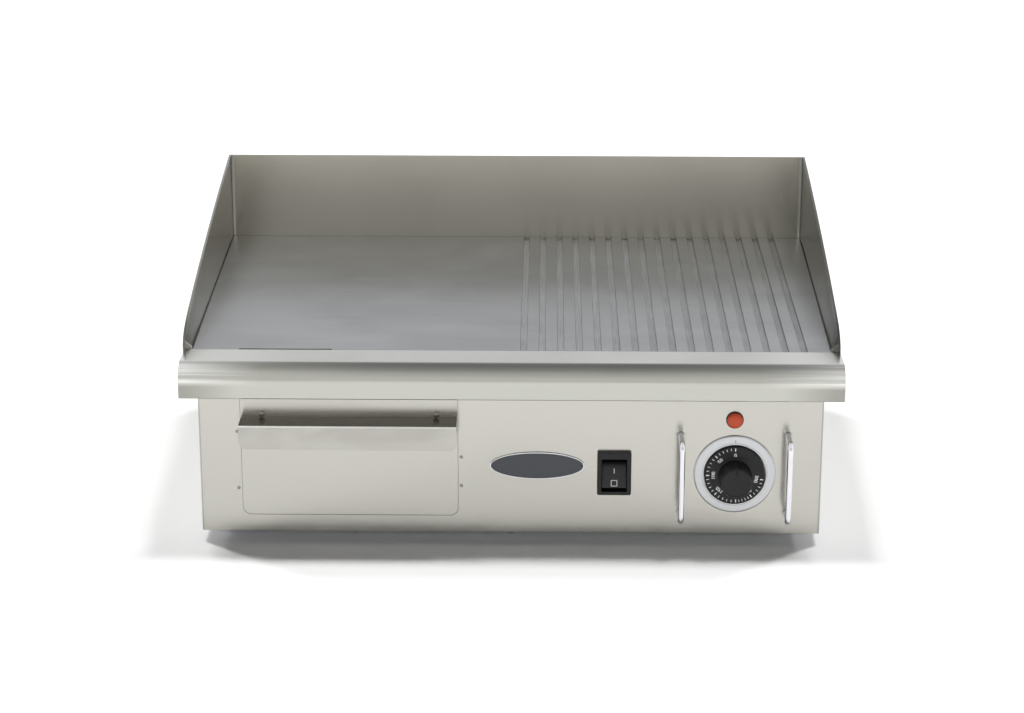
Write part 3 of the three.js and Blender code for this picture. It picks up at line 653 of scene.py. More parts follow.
def cooked_on(tree, tint, roughness):
    """A grease layer in the grooves, with painted shade that darkens them towards the right; grime where
    they end; painted shade in the back-left corner; and light scratches over the plate.
    """
    below = below_top(tree, FILM_DEPTH)
    behind = behind_front(tree, GRIME_FROM)
    patches = remap(tree, noise(tree, 14, (0.6, 1, 1), detail=3, distortion=0.6), 0.35, 0.65, *PATCHES)
    grit = remap(tree, noise(tree, 1500, (1, 0.02, 1), detail=2), 0.35, 0.65, *GRIT)
    grime = remap(tree, noise(tree, 160, detail=2), 0.42, 0.58, *GRIME)
    corner = times(tree, remap(tree, coordinate(tree, "x"), *CORNER_SHADE["x"], 1, 0),
                   behind_front(tree, CORNER_SHADE["y"]))
    patchy = scaled(tree, tint, patches)
    to_right = remap(tree, coordinate(tree, "x"), *GROOVE_SHADE_RIGHT["x"], 1, GROOVE_SHADE_RIGHT["tone"])
    grit_and_shade = times(tree, grit, to_right)
    grooved = blended(tree, below, patchy, scaled(tree, patchy, grit_and_shade))
    ended = times(tree, below, behind)
    spotted = blended(tree, ended, grooved, scaled(tree, grooved, grime))
    corner_shade_amount = times(tree, corner, CORNER_SHADE["amount"])
    corner_shaded = blended(tree, corner_shade_amount, spotted, CORNER_SHADE["colour"])
    scratch = remap(tree, noise(tree, 330, (0.03, 1, 1), detail=2, distortion=0.3), 0.60, 0.72,
                    0, SCRATCH_ROUGHER)
    rough = plus(tree, roughness, times(tree, below, FILM_ROUGHER))
    return corner_shaded, plus(tree, rough, scratch)


STEEL = (0.50, 0.49, 0.45)
STEEL_DARK = (0.48, 0.47, 0.43)
wide_steel = brushed("brushed steel, grain along x", "brushed_steel", STEEL, STEEL_DARK, "x", 0.22, 0.6)
deep_steel = brushed("brushed steel, grain along y", "brushed_steel", STEEL, STEEL_DARK, "y", 0.22, 0.6)
tall_steel = brushed("brushed steel, grain along z", "brushed_steel", STEEL, STEEL_DARK, "z", 0.22, 0.6)
guard_steel = brushed("brushed steel, splash guards", "brushed_steel", (0.513, 0.492, 0.428),
                      (0.492, 0.471, 0.406), "x", 0.24, 0.6)
# The side guards carry painted shade.
side_guard_steel = brushed("brushed steel, side guards", "brushed_steel", (0.40, 0.385, 0.345),
                           (0.38, 0.365, 0.325), "y", 0.24, 0.6, wear_and_painted_light=side_shaded)
# The folded panel's bends carry painted shade.
panel_steel = brushed("brushed steel, folded panel", "brushed_steel", STEEL, STEEL_DARK, "x", 0.20, 0.6,
                      wear_and_painted_light=seamed)
# The rail carries painted highlights and painted shade.
rail_steel = brushed("brushed steel, buffed rail", "brushed_steel", (0.480, 0.481, 0.438),
                     (0.460, 0.461, 0.420), "x", 0.19, 0.75, wear_and_painted_light=polished_ends)
# The handle carries painted shade and a painted highlight.
handle_steel = brushed("brushed steel, worn handle", "brushed_steel", STEEL, STEEL_DARK, "x", 0.24, 0.5,
                       wear_and_painted_light=handled)
# The plate carries painted shade in its grooves and back-left corner, besides its grease and grime.
plate_steel = brushed("ground plate", "plate_steel", (0.450, 0.457, 0.457), (0.415, 0.422, 0.422), "x",
                      0.35, 0.6, line=0.03, smear=0.03, wear_and_painted_light=cooked_on)
zinc = plain_metal("zinc plating", "zinc_steel", (0.52, 0.53, 0.55), 0.38, scale=120, amount=0.08)
chrome = plain_metal("chrome", "chrome", (0.74, 0.74, 0.77), 0.07, scale=40, amount=0.03, relief=0.01)
rivet_steel = plain_metal("dull rivets", "chrome", (0.30, 0.285, 0.25), 0.45, scale=200)
aluminium = plain_metal("satin aluminium", "aluminium", (0.52, 0.53, 0.54), 0.30, scale=2000)
brass = plain_metal("drawn copper alloy", "capillary_brass", (0.62, 0.44, 0.18), 0.30)
sheath = plain_metal("oxidised sheath", "element_sheath", (0.08, 0.085, 0.08), 0.55, amount=0.12)
black = moulded("black moulding", "black_plastic", (0.008, 0.008, 0.009), 0.34, specular_ior_level=0.30)
white_ink = moulded("white print", "black_plastic", (0.92, 0.92, 0.90), 0.55)
faded_ink = moulded("faded print", "black_plastic", (0.55, 0.55, 0.54), 0.6)
dark_mark = moulded("dark index", "black_plastic", (0.05, 0.05, 0.055), 0.5)
lens_red = moulded("orange-red lens", "red_lens", (0.50, 0.060, 0.016), 0.25, relief=0.05,
                   coat_weight=0.2, specular_ior_level=0.3)
rubber = moulded("rubber", "rubber", (0.018, 0.018, 0.018), 0.75, relief=0.4)
wool = moulded("ceramic wool", "ceramic_wool", (0.78, 0.74, 0.66), 0.92, scale=500, relief=0.9)
cream = moulded("cream moulding", "cream_plastic", (0.74, 0.69, 0.56), 0.45)


def rocker_look():
    """Black moulding with painted shade on the finger scoop above the satin face: a darker colour and less
    sheen.
    """
    material, tree, bsdf = shader("rocker moulding", roughness=0.42)
    scoop = remap(tree, coordinate(tree, "z", "Normal"), 0.35, 0.5, 0, 1)
    grain = noise(tree, 900, detail=2)
    face = remap(tree, grain, 0.3, 0.7, 0.018, 0.026)
    tone = times(tree, face, remap(tree, scoop, 0, 1, 1, 0.15))
    tree.links.new(tone, bsdf.inputs["Base Color"])
    tree.links.new(remap(tree, scoop, 0, 1, 0.30, 0.03), bsdf.inputs["Specular IOR Level"])
    bump(tree, bsdf, grain, 0.05, 0.0001)
    return Look(material, "black_plastic")


enamel = moulded("slate enamel", "badge", (0.045, 0.050, 0.058), 0.40, scale=600, relief=0.06)
rocker_black = rocker_look()


# ---- Pieces ----

def piece(name, bm, look, body="housing", replaces=(), smooth=35):
    """Brings a shape into the shared frame as a named piece with a look, on a body."""
    moved(bm, TO_ROW)
    mesh = bpy.data.meshes.new(name)
    for face in bm.faces:
        face.smooth = True
    bm.to_mesh(mesh)
    bm.free()
    mesh.set_sharp_from_angle(angle=math.radians(smooth))
    mesh.materials.append(look.material)
    obj = bpy.data.objects.new(name, mesh)
    bpy.context.scene.collection.objects.link(obj)
    normals = obj.modifiers.new("even shading", "WEIGHTED_NORMAL")
    normals.keep_sharp = True
    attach(obj, body)
    if replaces:
        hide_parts(*replaces)
    return obj


def refined(node, look, width=0.3, body="housing", segments=2, sharper_than=35):
    """A CAD node rebuilt as a piece with rounded edges."""
    bm = softened(from_cad(node), width, segments, sharper_than)
    return piece(f"{node}_fine", bm, look, body, [node])


# ---- Plate and splash guards ----

def plate_shape():
    first, pitch, depth = GROOVES["first"], GROOVES["pitch"], GROOVES["depth"]
    section = [(-HALF_WIDTH, PLATE_LOW.z), (HALF_WIDTH, PLATE_LOW.z), (HALF_WIDTH, TOP)]
    for i in reversed(range(GROOVES["count"])):
        x = first + i * pitch
        section += [(x + GROOVES["top"], TOP), (x + GROOVES["bottom"], TOP - depth),
                    (x - GROOVES["bottom"], TOP - depth), (x - GROOVES["top"], TOP)]
    section.append((-HALF_WIDTH, TOP))
    back = PLATE_HIGH.y
    plan = [(-PLATE_FRONT_HALF, 0), (DRAIN["left"], 0), (DRAIN["left"], DRAIN["depth"]),
            (DRAIN["right"], DRAIN["depth"]), (DRAIN["right"], 0), (PLATE_FRONT_HALF, 0),
            (PLATE_HIGH.x, back), (-PLATE_HIGH.x, back)]
    ribbed = extruded(section, "y", -1, back + 1)
    outline = extruded(plan, "z", PLATE_LOW.z - 1, TOP + 1)
    return softened(combined(ribbed, [outline], "INTERSECT"), 0.35)


def guard_edge():
    """The side guards' top edge in Y and Z, from the back down to the front tip."""
    top = REAR_HIGH.z
    shoulder = (GUARD["shoulder_y"], TOP + GUARD["shoulder_rise"])
    crown = bezier([(PLATE_HIGH.y, top), (200, top - 20.5), shoulder])
    nose = bezier([shoulder, (30, TOP + 20.5), (0, TOP + 14.5), (0, TOP)], 16)
    return [*crown, *nose[1:]]


def side_guard_shape(side):
    """A sheet on edge with a crowned top and a round nose, that leans in to the plate's edge."""
    edge = guard_edge()
    inner = HALF_WIDTH - GUARD["sheet"]
    side_view = [(0, REAR_LOW.z), (PLATE_HIGH.y, REAR_LOW.z), *edge]
    sheet = extruded(side_view, "x", *sorted((side * inner, side * HALF_WIDTH)))
    low, buried = TOP - 3, side * (inner + 1)
    rings = []
    for y, z in edge:
        share = y / PLATE_HIGH.y
        widening = (PLATE_HIGH.x - PLATE_FRONT_HALF - 0.4) * share
        foot = side * (PLATE_FRONT_HALF + GUARD["seam"] + widening)
        crest = max(z - 0.7, TOP + 0.1)
        rings.append([(foot, y, low), (foot, y, TOP), (buried, y, crest), (buried, y, low)])
    return softened(joined(sheet, lofted(rings)), 0.4, 3, 50)


def corner_weld_shape(side):
    """A concave bead down the corner between a side guard and the rear guard."""
    x = side * (HALF_WIDTH - GUARD["sheet"] - 0.05)
    y = REAR_LOW.y - 0.05
    radius = 2.6
    hollow = arc(x - side * radius, y - radius, radius, 0 if side > 0 else 180, 90, 6)
    return extruded([(x, y), *hollow], "z", TOP + GAP, REAR_HIGH.z - 0.4)


piece("plate", plate_shape(), plate_steel, replaces=["griddle_plate"])
for word, side in (("left", -1), ("right", 1)):
    piece(f"{word}_guard", side_guard_shape(side), side_guard_steel, replaces=[f"{word}_splash_guard"])
    piece(f"{word}_corner_weld", corner_weld_shape(side), tall_steel)
refined("rear_splash_guard", guard_steel, 0.5, segments=3)


# ---- Front rail ----

def rail_outline(inset):
    """The rail's outside line in Y and Z from the plate to the hem under its face, drawn in."""
    nose = RAIL["radius"] - inset
    hem = RAIL["hem"]
    return [(-GAP - inset, TOP - inset),
            *arc(-RAIL["strip"], TOP - RAIL["radius"], nose, 90, 180, 20),
            *arc(RAIL_LOW.y + hem, RAIL_LOW.z + hem, hem - min(inset, hem - 0.1), 180, 270, 5)]


def rail_shape():
    """A bent sheet closed by its two ends, whose outer edges are polished round."""
    sheet, left, right = RAIL["sheet"], RAIL["left"], RAIL["right"]
    filled = extruded([*rail_outline(0), (-GAP, RAIL_LOW.z)], "x", left, right)

    def at_an_end(edge):
        ends = [v.co for v in edge.verts]
        return all(min(p.x - left, right - p.x) < 0.01 and p.z > RAIL_LOW.z + 0.01 for p in ends) \
            and not all(p.y > -GAP - 0.01 for p in ends)

    softened(filled, RAIL["end_round"], 6, 60, at_an_end)
    inner = [*rail_outline(sheet), (-GAP - sheet, RAIL_LOW.z + sheet)]
    open_back = [(PANEL - GAP, RAIL_LOW.z - 5), (5, RAIL_LOW.z - 5), (5, PLATE_LOW.z),
                 (PANEL - GAP, PLATE_LOW.z)]
    shell = cut(filled, *(extruded(outline, "x", left + sheet, right - sheet)
                          for outline in (inner, open_back)))
    return softened(shell, 0.25, 2, 60)


piece("rail", rail_shape(), rail_steel, replaces=["front_rail", "left_rail_end", "right_rail_end"])


# ---- Housing ----

SIDE_RETURN = 11


def drawer_outline(grow):
    u = (DRAWER_LOW.x - grow, DRAWER_HIGH.x + grow)
    v = (DRAWER_LOW.z - grow, DRAWER_HIGH.z + grow)
    corner = DRAWER["corner"] + grow
    return rounded(u, v, [corner, corner, 0, 0], 8)


def holes_along_y(places, radius, y):
    return [turned([(0, y[0]), (radius, y[0]), (radius, y[1]), (0, y[1])], "y", place, 32)
            for place in places]


def bar_legs():
    """Where the guard bars' legs go through the panel, in X and Z."""
    legs = []
    for node in ("left_guard_bar", "right_guard_bar"):
        low, high = span(node)
        radius = (high.x - low.x) / 2
        legs += [(low.x + radius, low.z + radius), (low.x + radius, high.z - radius)]
    return legs


def front_panel_shape():
    """One sheet, folded back at both sides, with openings for the drawer and the controls."""
    half, back = PANEL_HIGH.x, PANEL_LOW.y + SIDE_RETURN
    plan = [(-half, back), *arc(-half + BEND, PANEL + BEND, BEND, 180, 270, 6),
            *arc(half - BEND, PANEL + BEND, BEND, 270, 360, 6), (half, back), (half - SHEET, back),
            *arc(half - BEND, PANEL + BEND, BEND - SHEET, 0, -90, 6),
            *arc(-half + BEND, PANEL + BEND, BEND - SHEET, 270, 180, 6), (-half + SHEET, back)]
    sheet = extruded(plan, "z", PANEL_LOW.z, PANEL_HIGH.z)
    through = (PANEL - 4, PANEL + 6)
    lap = 1.5
    switch = rounded((SWITCH_LOW.x + lap, SWITCH_HIGH.x - lap),
                     (SWITCH_LOW.z + lap, SWITCH_HIGH.z - lap), 1)
    panel = cut(sheet, extruded(drawer_outline(DRAWER["gap"]), "y", *through),
                extruded(switch, "y", *through),
                *holes_along_y(bar_legs(), 2.8, through),
                *holes_along_y([(DIAL.x, DIAL.z)], 4.5, through),
                *holes_along_y([(LAMP.x, LAMP.z)], 5.3, through))
    return softened(panel, 0.25, 2, 50)


def side_panel_shape(side):
    low, high = span("right_side_panel")
    x = sorted((side * low.x, side * high.x))
    return softened(block(x, (PANEL + SIDE_RETURN + GAP, high.y), (low.z, high.z)), 0.3)


def pan_head(radius, height, axis, centre, base, outward):
    """A pan-head screw with a cross recess, standing on a face at `base`."""
    crown = [(0, base + outward * height)]
    crown += [(radius * 0.55, base + outward * height), (radius * 0.85, base + outward * height * 0.8),
              (radius, base + outward * height * 0.35), (radius, base), (0, base)]
    head = turned(crown, axis, centre, 32)
    arm, slot, tip = radius * 0.6, radius * 0.14, base + outward * (height + 1)
    floor = base + outward * height * 0.45
    u, v = centre
    wide = rounded((u - arm, u + arm), (v - slot, v + slot), 0)
    tall = rounded((u - slot, u + slot), (v - arm, v + arm), 0)
    return cut(head, *(extruded(shape, axis, *sorted((floor, tip))) for shape in (wide, tall)))


piece("front_panel_sheet", front_panel_shape(), panel_steel, replaces=["front_panel"])
SPOT_WELDS = [(-227.5, 99), (-227.5, 49), (-41, 77.5), (-41, 52)]
SPOT_PROFILE = [(0, PANEL - 0.25), (1.0, PANEL - 0.2), (1.5, PANEL), (0, PANEL)]
piece("spot_welds", together(*(turned(SPOT_PROFILE, "y", place, 20) for place in SPOT_WELDS)),
      rivet_steel)
for word, side in (("left", -1), ("right", 1)):
    piece(f"{word}_side_sheet", side_panel_shape(side), deep_steel, replaces=[f"{word}_side_panel"])
    screws = [pan_head(3.4, 2.2, "x", (y, 24), side * PANEL_HIGH.x, side) for y in (20, 165, 310)]
    piece(f"{word}_side_screws", together(*screws), zinc)
refined("rear_panel", wide_steel, 0.3)
refined("bottom_plate", zinc, 0.3)
REAR_SCREWS = [(-250, 24), (-250, 130), (250, 70), (250, 130), (-60, 24), (60, 24)]
piece("rear_screws", together(*(pan_head(3.4, 2.2, "y", place, BACK_HIGH.y, 1) for place in REAR_SCREWS)),
      zinc)
BOTTOM_SCREWS = [(x, PANEL + 4.2) for x in (-131, 0, 133)] + [(x, BACK_HIGH.y - 9) for x in (-131, 0, 133)]
piece("bottom_screws", together(*(pan_head(3.2, 2.2, "z", place, FLOOR_LOW.z, -1)
                                  for place in BOTTOM_SCREWS)), zinc)


def foot_shape(x, y, top):
    """A turned rubber foot with a soft tread and a ring around its waist."""
    profile = [(0, 1.2), (4.6, 1.2), (5, 0.4), (5.6, 0), (9.8, 0), (10.7, 0.4), (11.1, 1.2),
               (11.9, 5), (12.2, 6.4), (11.9, 6.9), (12.2, 7.4), (12.8, 9.2), (12.7, 9.8),
               (12.2, top), (0, top)]
    return turned(profile, "z", (x, y), 72)


def thread(radius, start, end, pitch=0.8, depth=0.3):
    """A profile with the ridges of a machine thread."""
    count = int(abs(end - start) / pitch)
    step = (end - start) / count
    profile = []
    for i in range(count):
        profile += [(radius - depth, start + i * step), (radius, start + (i + 0.5) * step)]
    return profile + [(radius - depth, end)]


for corner in ("front_left", "front_right", "rear_left", "rear_right"):
    low, high = span(f"foot_{corner}")
    centre = ((low.x + high.x) / 2, (low.y + high.y) / 2)
    rubber_top = FLOOR_LOW.z - GAP
    piece(f"foot_{corner}_rubber", foot_shape(*centre, rubber_top), rubber, replaces=[f"foot_{corner}"])
    stud_low = rubber_top + 0.05
    stud = [(0, stud_low), *thread(2.5, stud_low, high.z - 0.5), (1.6, high.z), (0, high.z)]
    piece(f"foot_{corner}_stud", turned(stud, "z", centre, 32), zinc)


# ---- Grease drawer ----

def handle_shape():
    """An inverted channel of sheet: a leg on the drawer, a flange, and a lip with round corners."""
    back, front = HANDLE_HIGH.y, HANDLE_LOW.y
    top, low = HANDLE_HIGH.z, HANDLE_LOW.z
    leg, inside = top - 12, BEND - SHEET
    section = [(back, leg), *arc(back - BEND, top - BEND, BEND, 0, 90, 5),
               *arc(front + BEND, top - BEND, BEND, 90, 180, 5), (front, low), (front + SHEET, low),
               *arc(front + BEND, top - BEND, inside, 180, 90, 5),
               *arc(back - BEND, top - BEND, inside, 90, 0, 5), (back - SHEET, leg)]
    channel = extruded(section, "x", HANDLE_LOW.x, HANDLE_HIGH.x)
    round_lip = rounded((HANDLE_LOW.x, HANDLE_HIGH.x), (low, top + 40), [6, 6, 0, 0], 8)
    around = rounded((HANDLE_LOW.x - 5, HANDLE_HIGH.x + 5), (low - 5, low + 6), 0)
    waste = cut(extruded(around, "y", front - 1, front + SHEET + 0.5),
                extruded(round_lip, "y", front - 2, front + SHEET + 2))
    channel = softened(cut(channel, waste), 0.3, 2, 50)
    sliced(channel, "x", [HANDLE_LOW.x + 8 * i for i in range(1, 23)])
    for v in channel.verts:
        drop = max(0.0, min(1.0, (top - 4 - v.co.z) / (top - 4 - low))) if v.co.y < front + 3 else 0
        v.co.y += 0.35 * drop * math.sin(v.co.x / 21)
        v.co.z += 0.3 * drop * math.sin(v.co.x / 33 + 1)
    return channel


def rivet_shape(node):
    centre = middle(node)
    face, tail = span(node)[0].y, span(node)[1].y
    profile = [(0, face), (1.0, face + 0.08), (1.8, face + 0.3), (2.4, face + 0.75), (2.6, face + 1.2),
               (1.5, face + 1.2), (1.5, tail - 0.3), (1.2, tail), (0, tail)]
    return turned(profile, "y", (centre.x, centre.z), 40)


def drawer_face_shape():
    rivets = [middle(f"drawer_rivet_{i}") for i in (1, 2)]
    holes = holes_along_y([(rivet.x, rivet.z) for rivet in rivets], 1.8, (PANEL - 3, PANEL + 5))
    return softened(cut(extruded(drawer_outline(0), "y", DRAWER_LOW.y, DRAWER_HIGH.y), *holes), 0.3)


piece("drawer_face", drawer_face_shape(), wide_steel, "drawer", ["drawer_front"])
piece("handle", handle_shape(), handle_steel, "drawer", ["drawer_handle"])
for i in (1, 2):
    piece(f"rivet_{i}", rivet_shape(f"drawer_rivet_{i}"), rivet_steel, "drawer", [f"drawer_rivet_{i}"])
refined("drip_drawer", deep_steel, 0.25, "drawer")
for node in ("left_drawer_runner", "right_drawer_runner", "drain_chute"):
    refined(node, zinc, 0.25)


# ---- Heating ----

for i in (1, 2, 3):
    low, high = span(f"heating_element_{i}")
    radius = (high.z - low.z) / 2
    z = (low.z + high.z) / 2
    corners = [(high.x - 15, low.y + radius, z), (low.x + radius, low.y + radius, z),
               (low.x + radius, high.y - radius, z), (high.x - 15, high.y - radius, z)]
    hairpin = swept(rounded_path(corners, 18, 12), radius, 24)
    pins = [turned([(0, high.x - 16), (1.6, high.x - 16), (1.6, high.x - 0.4), (1.2, high.x), (0, high.x)],
                   "x", (y, z), 20) for y in (low.y + radius, high.y - radius)]
    piece(f"element_{i}", joined(hairpin, *pins), sheath, replaces=[f"heating_element_{i}"])
for word in ("left", "right"):
    refined(f"{word}_element_clamp", zinc, 0.4)
    for end in ("front", "rear"):
        refined(f"{word}_clamp_bolt_{end}", zinc, 0.3)
refined("heat_shield", zinc, 0.3)
refined("insulation_board", wool, 1.2, segments=3)


# ---- Thermostat ----

KNOB_SKIRT = {"thick": 3.6, "inner": 14.8, "outer": 24.4, "rise": 0.5}


def knob_shape():
    """A skirt for the scale and a tapered grip with fine ribs, hollow for the spindle."""
    front, back = KNOB_LOW.y, KNOB_HIGH.y
    rim = back - KNOB_SKIRT["thick"]
    inner, outer = KNOB_SKIRT["inner"], KNOB_SKIRT["outer"]
    profile = [(0, front + 0.5), (9.5, front + 0.5), (10.4, front + 0.35), (10.9, front), (11.8, front),
               (12.4, front + 0.3), (12.7, front + 1.0), (13.0, front + 6), (13.4, rim - 3.4),
               (13.6, rim - 1.4), (14.0, rim - 0.6), (inner, rim - 0.3),
               (outer, rim - 0.3 + KNOB_SKIRT["rise"]), (25.1, rim + 0.7), (25.4, rim + 1.3),
               (25.5, rim + 2.0), (25.5, back - 0.3), (25.2, back), (0, back)]
    ribbed = range(7, 10)

    def ribs(index, angle):
        return 0.28 * abs(math.cos(28 * angle)) - 0.14 if index in ribbed else 0

    knob = turned(profile, "y", (DIAL.x, DIAL.z), 336, ribs)
    bore_profile = [(0, front + 7), (3.3, front + 7), (3.3, back + 1), (0, back + 1)]
    bore = turned(bore_profile, "y", (DIAL.x, DIAL.z), 32)
    notch = block((DIAL.x - 0.6, DIAL.x + 0.6), (front - 1, front + 1.6), (DIAL.z + 8.2, DIAL.z + 16))
    return cut(knob, bore, notch)


SCALE = [(0, 0), (50, 44), (100, 90), (150, 136), (200, 183), (250, 217), (300, 261)]
SCALE_RADIUS = {"ticks": 24.0, "digits": 16.9}
MAJOR_TICK, MINOR_TICK = (3.4, 0.38), (2.3, 0.22)


def on_skirt(radius, degrees):
    """Where the skirt's front face is at a radius and an angle anticlockwise from the top."""
    slope = KNOB_SKIRT["rise"] / (KNOB_SKIRT["outer"] - KNOB_SKIRT["inner"])
    y = KNOB_HIGH.y - KNOB_SKIRT["thick"] - 0.3 + (radius - KNOB_SKIRT["inner"]) * slope
    turn = Matrix.Rotation(-math.radians(degrees), 4, "Y")
    lean = Matrix.Rotation(math.atan(slope), 4, "X")
    return Matrix.Translation((DIAL.x, 0, DIAL.z)) @ turn @ Matrix.Translation((0, y, radius)) @ lean


def tick_shape(angle, size):
    length, half = size
    tick = block((-half, half), (-0.1, 0.1), (-length / 2, length / 2))
    return moved(tick, on_skirt(SCALE_RADIUS["ticks"] - length / 2, angle))


def scale_shapes():
    marks = [tick_shape(angle, MAJOR_TICK) for _, angle in SCALE]
    for (_, start), (_, end) in zip(SCALE, SCALE[1:]):
        marks += [tick_shape(start + (end - start) * step / 5, MINOR_TICK) for step in range(1, 5)]
    for value, angle in SCALE:
        marks.append(moved(lettering(str(value), 4.6, 0.2), on_skirt(SCALE_RADIUS["digits"] + 0.8, angle)))
    return together(*marks)


def bezel_shape():
    """A dished ring with a bright lip inside and a rolled outer edge."""
    front, back = BEZEL_LOW.y, BEZEL_HIGH.y
    outer = (BEZEL_HIGH.x - BEZEL_LOW.x) / 2
    profile = [(26, back), (26, front + 0.5), (26.2, front + 0.15), (26.7, front), (27.3, front + 0.15),
               (27.6, front + 0.5), (31.6, front + 0.6), *arc(32.0, front + 2.1, 1.5, 270, 360, 6)]
    profile = [point if i < 7 else (point[0] + outer - 33.5, point[1]) for i, point in enumerate(profile)]
    return turned([*profile, (outer, back)], "y", (DIAL.x, DIAL.z), 128)


piece("knob", knob_shape(), black, "dial", ["control_knob"], smooth=28)
piece("knob_scale", scale_shapes(), white_ink, "dial")
refined("thermostat_spindle", zinc, 0.3, "dial")
piece("bezel", bezel_shape(), aluminium, replaces=["dial_bezel"])
index_tick = rounded((DIAL.x - 0.3, DIAL.x + 0.3), (DIAL.z + 28.4, DIAL.z + 30.2), 0.2)
piece("index_tick", extruded(index_tick, "y", BEZEL_LOW.y + 0.45, BEZEL_LOW.y + 0.75), dark_mark)
refined("thermostat_body", cream, 0.8)
low, high = span("thermostat_bulb")
bulb = [(0, low.x), (1.8, low.x), (2.7, low.x + 1.2), (3, low.x + 2.6), (3, high.x - 2.6),
        (2.7, high.x - 1.2), (1.4, high.x), (0, high.x)]
piece("bulb", turned(bulb, "x", (middle("thermostat_bulb").y, middle("thermostat_bulb").z), 40), brass,
      replaces=["thermostat_bulb"])
refined("capillary_tube", brass, 0.1)
refined("safety_limiter", cream, 0.8)


# ---- Guard bars ----

for word in ("left", "right"):
    low, high = span(f"{word}_guard_bar")
    x, radius = (low.x + high.x) / 2, (high.x - low.x) / 2
    corners = [(x, high.y, low.z + radius), (x, low.y + radius, low.z + radius),
               (x, low.y + radius, high.z - radius), (x, high.y, high.z - radius)]
    bar = softened(swept(rounded_path(corners, 5.5, 14), radius, 32), 0.4, 2, 60)
    piece(f"{word}_bar", bar, chrome, replaces=[f"{word}_guard_bar"])
    for end in ("lower", "upper"):
        refined(f"{word}_bar_nut_{end}", zinc, 0.4)


# ---- Switch, lamp and badge ----

ROCKER = {"width": 20.6, "height": 26, "tilt": 12, "pivot": 6, "drop": 1.5, "window": 28.8,
          "ridge": 5, "scoop": 4, "swell": 0.6}
ROCKER_PLACE = (Matrix.Translation((SWITCH.x, PANEL + ROCKER["pivot"], SWITCH.z - ROCKER["drop"]))
                @ Matrix.Rotation(-math.radians(ROCKER["tilt"]), 4, "X"))


def switch_frame_shape():
    face = PANEL - GAP
    flange = extruded(rounded((SWITCH_LOW.x, SWITCH_HIGH.x), (SWITCH_LOW.z, SWITCH_HIGH.z), 1.6), "y",
                      SWITCH_LOW.y, face)
    softened(flange, 0.7, 3, 60, lambda e: all(v.co.y < face - 1 for v in e.verts))
    inner = 1.5 + GAP
    housing = extruded(rounded((SWITCH_LOW.x + inner, SWITCH_HIGH.x - inner),
                               (SWITCH_LOW.z + inner, SWITCH_HIGH.z - inner), 0.8), "y",
                       face - 0.5, SWITCH_HIGH.y)
    half = ROCKER["width"] / 2 + GAP
    low = SWITCH.z - ROCKER["drop"] - ROCKER["window"] / 2
    window = extruded(rounded((SWITCH.x - half, SWITCH.x + half), (low, low + ROCKER["window"]), 0.6),
                      "y", face - 5, face + 16)
    return softened(cut(joined(flange, housing), window), 0.2, 2, 60)


def rocker_front(z):
    """How far the rocker's front stands before its pivot at a height: flat below, scooped above."""
    half = ROCKER["height"] / 2
    above = max(0, z - ROCKER["ridge"]) / (half - ROCKER["ridge"])
    below = max(0, ROCKER["ridge"] - z) / (half + ROCKER["ridge"])
    return -ROCKER["pivot"] + ROCKER["scoop"] * above - ROCKER["swell"] * below


def rocker_shape():
    half = ROCKER["height"] / 2
    heights = [half, ROCKER["ridge"], -half]
    section = [(rocker_front(z), z) for z in heights]
    section += [(-2, -half + 1), (3, -5), (3, 5), (1, half - 1)]
    bm = extruded(section, "x", -ROCKER["width"] / 2, ROCKER["width"] / 2)
    return moved(softened(bm, 0.5, 3, 30), ROCKER_PLACE)


def rocker_mark(mark, z):
    """Lays a mark drawn round the origin on the rocker's flat lower front, at a height."""
    slope = math.atan(ROCKER["swell"] / (ROCKER["height"] / 2 + ROCKER["ridge"]))
    lean = Matrix.Rotation(-slope, 4, "X")
    return moved(mark, ROCKER_PLACE @ Matrix.Translation((0, rocker_front(z), z)) @ lean)


def square_ring(outer, inner):
    return cut(extruded(rounded((-outer, outer), (-outer, outer), outer * 0.3), "y", -0.08, 0.08),
               extruded(rounded((-inner, inner), (-inner, inner), inner * 0.2), "y", -1, 1))


piece("switch_frame", switch_frame_shape(), black, replaces=["switch_housing"])
piece("rocker_button", rocker_shape(), rocker_black, "rocker", ["switch_rocker"])
stroke = extruded(rounded((-0.35, 0.35), (-2.0, 2.0), 0), "y", -0.08, 0.08)
piece("rocker_marks", together(rocker_mark(stroke, 1.4), rocker_mark(square_ring(2.7, 2.05), -8.9)),
      faded_ink, "rocker")


def lamp_body_shape():
    low, high = span("lamp_body")
    face, back = low.y, high.y
    profile = [(0, face + 0.3), (6.7, face + 0.3), (6.8, face), (7.0, face), (7.25, face + 0.25),
               (7.3, face + 0.6), (7.3, face + 1.2), (5, face + 1.2), (5, back - 0.5), (4.5, back),
               (0, back)]
    return turned(profile, "y", (LAMP.x, LAMP.z), 64)


def lens_shape():
    """A shallow dome with radial flutes moulded in."""
    front, back = LENS_LOW.y, LENS_HIGH.y
    profile = [(0, front), (1.6, front + 0.05), (3.2, front + 0.25), (4.6, front + 0.65),
               (5.7, front + 1.25), (6.35, front + 2.0), (6.6, front + 2.7), (6.6, back), (0, back)]

    def flutes(index, angle):
        return 0.1 * math.cos(24 * angle) if 2 <= index <= 5 else 0

    return turned(profile, "y", (LAMP.x, LAMP.z), 144, flutes)


piece("lamp_holder", lamp_body_shape(), black, replaces=["lamp_body"])
piece("lens", lens_shape(), lens_red, replaces=["lamp_lens"], smooth=60)


def oval(inset, steps=96):
    half_u = (BADGE_HIGH.x - BADGE_LOW.x) / 2 - inset
    half_v = (BADGE_HIGH.z - BADGE_LOW.z) / 2 - inset
    angles = [2 * math.pi * i / steps for i in range(steps)]
    return [(BADGE.x + half_u * math.cos(a), BADGE.z + half_v * math.sin(a)) for a in angles]


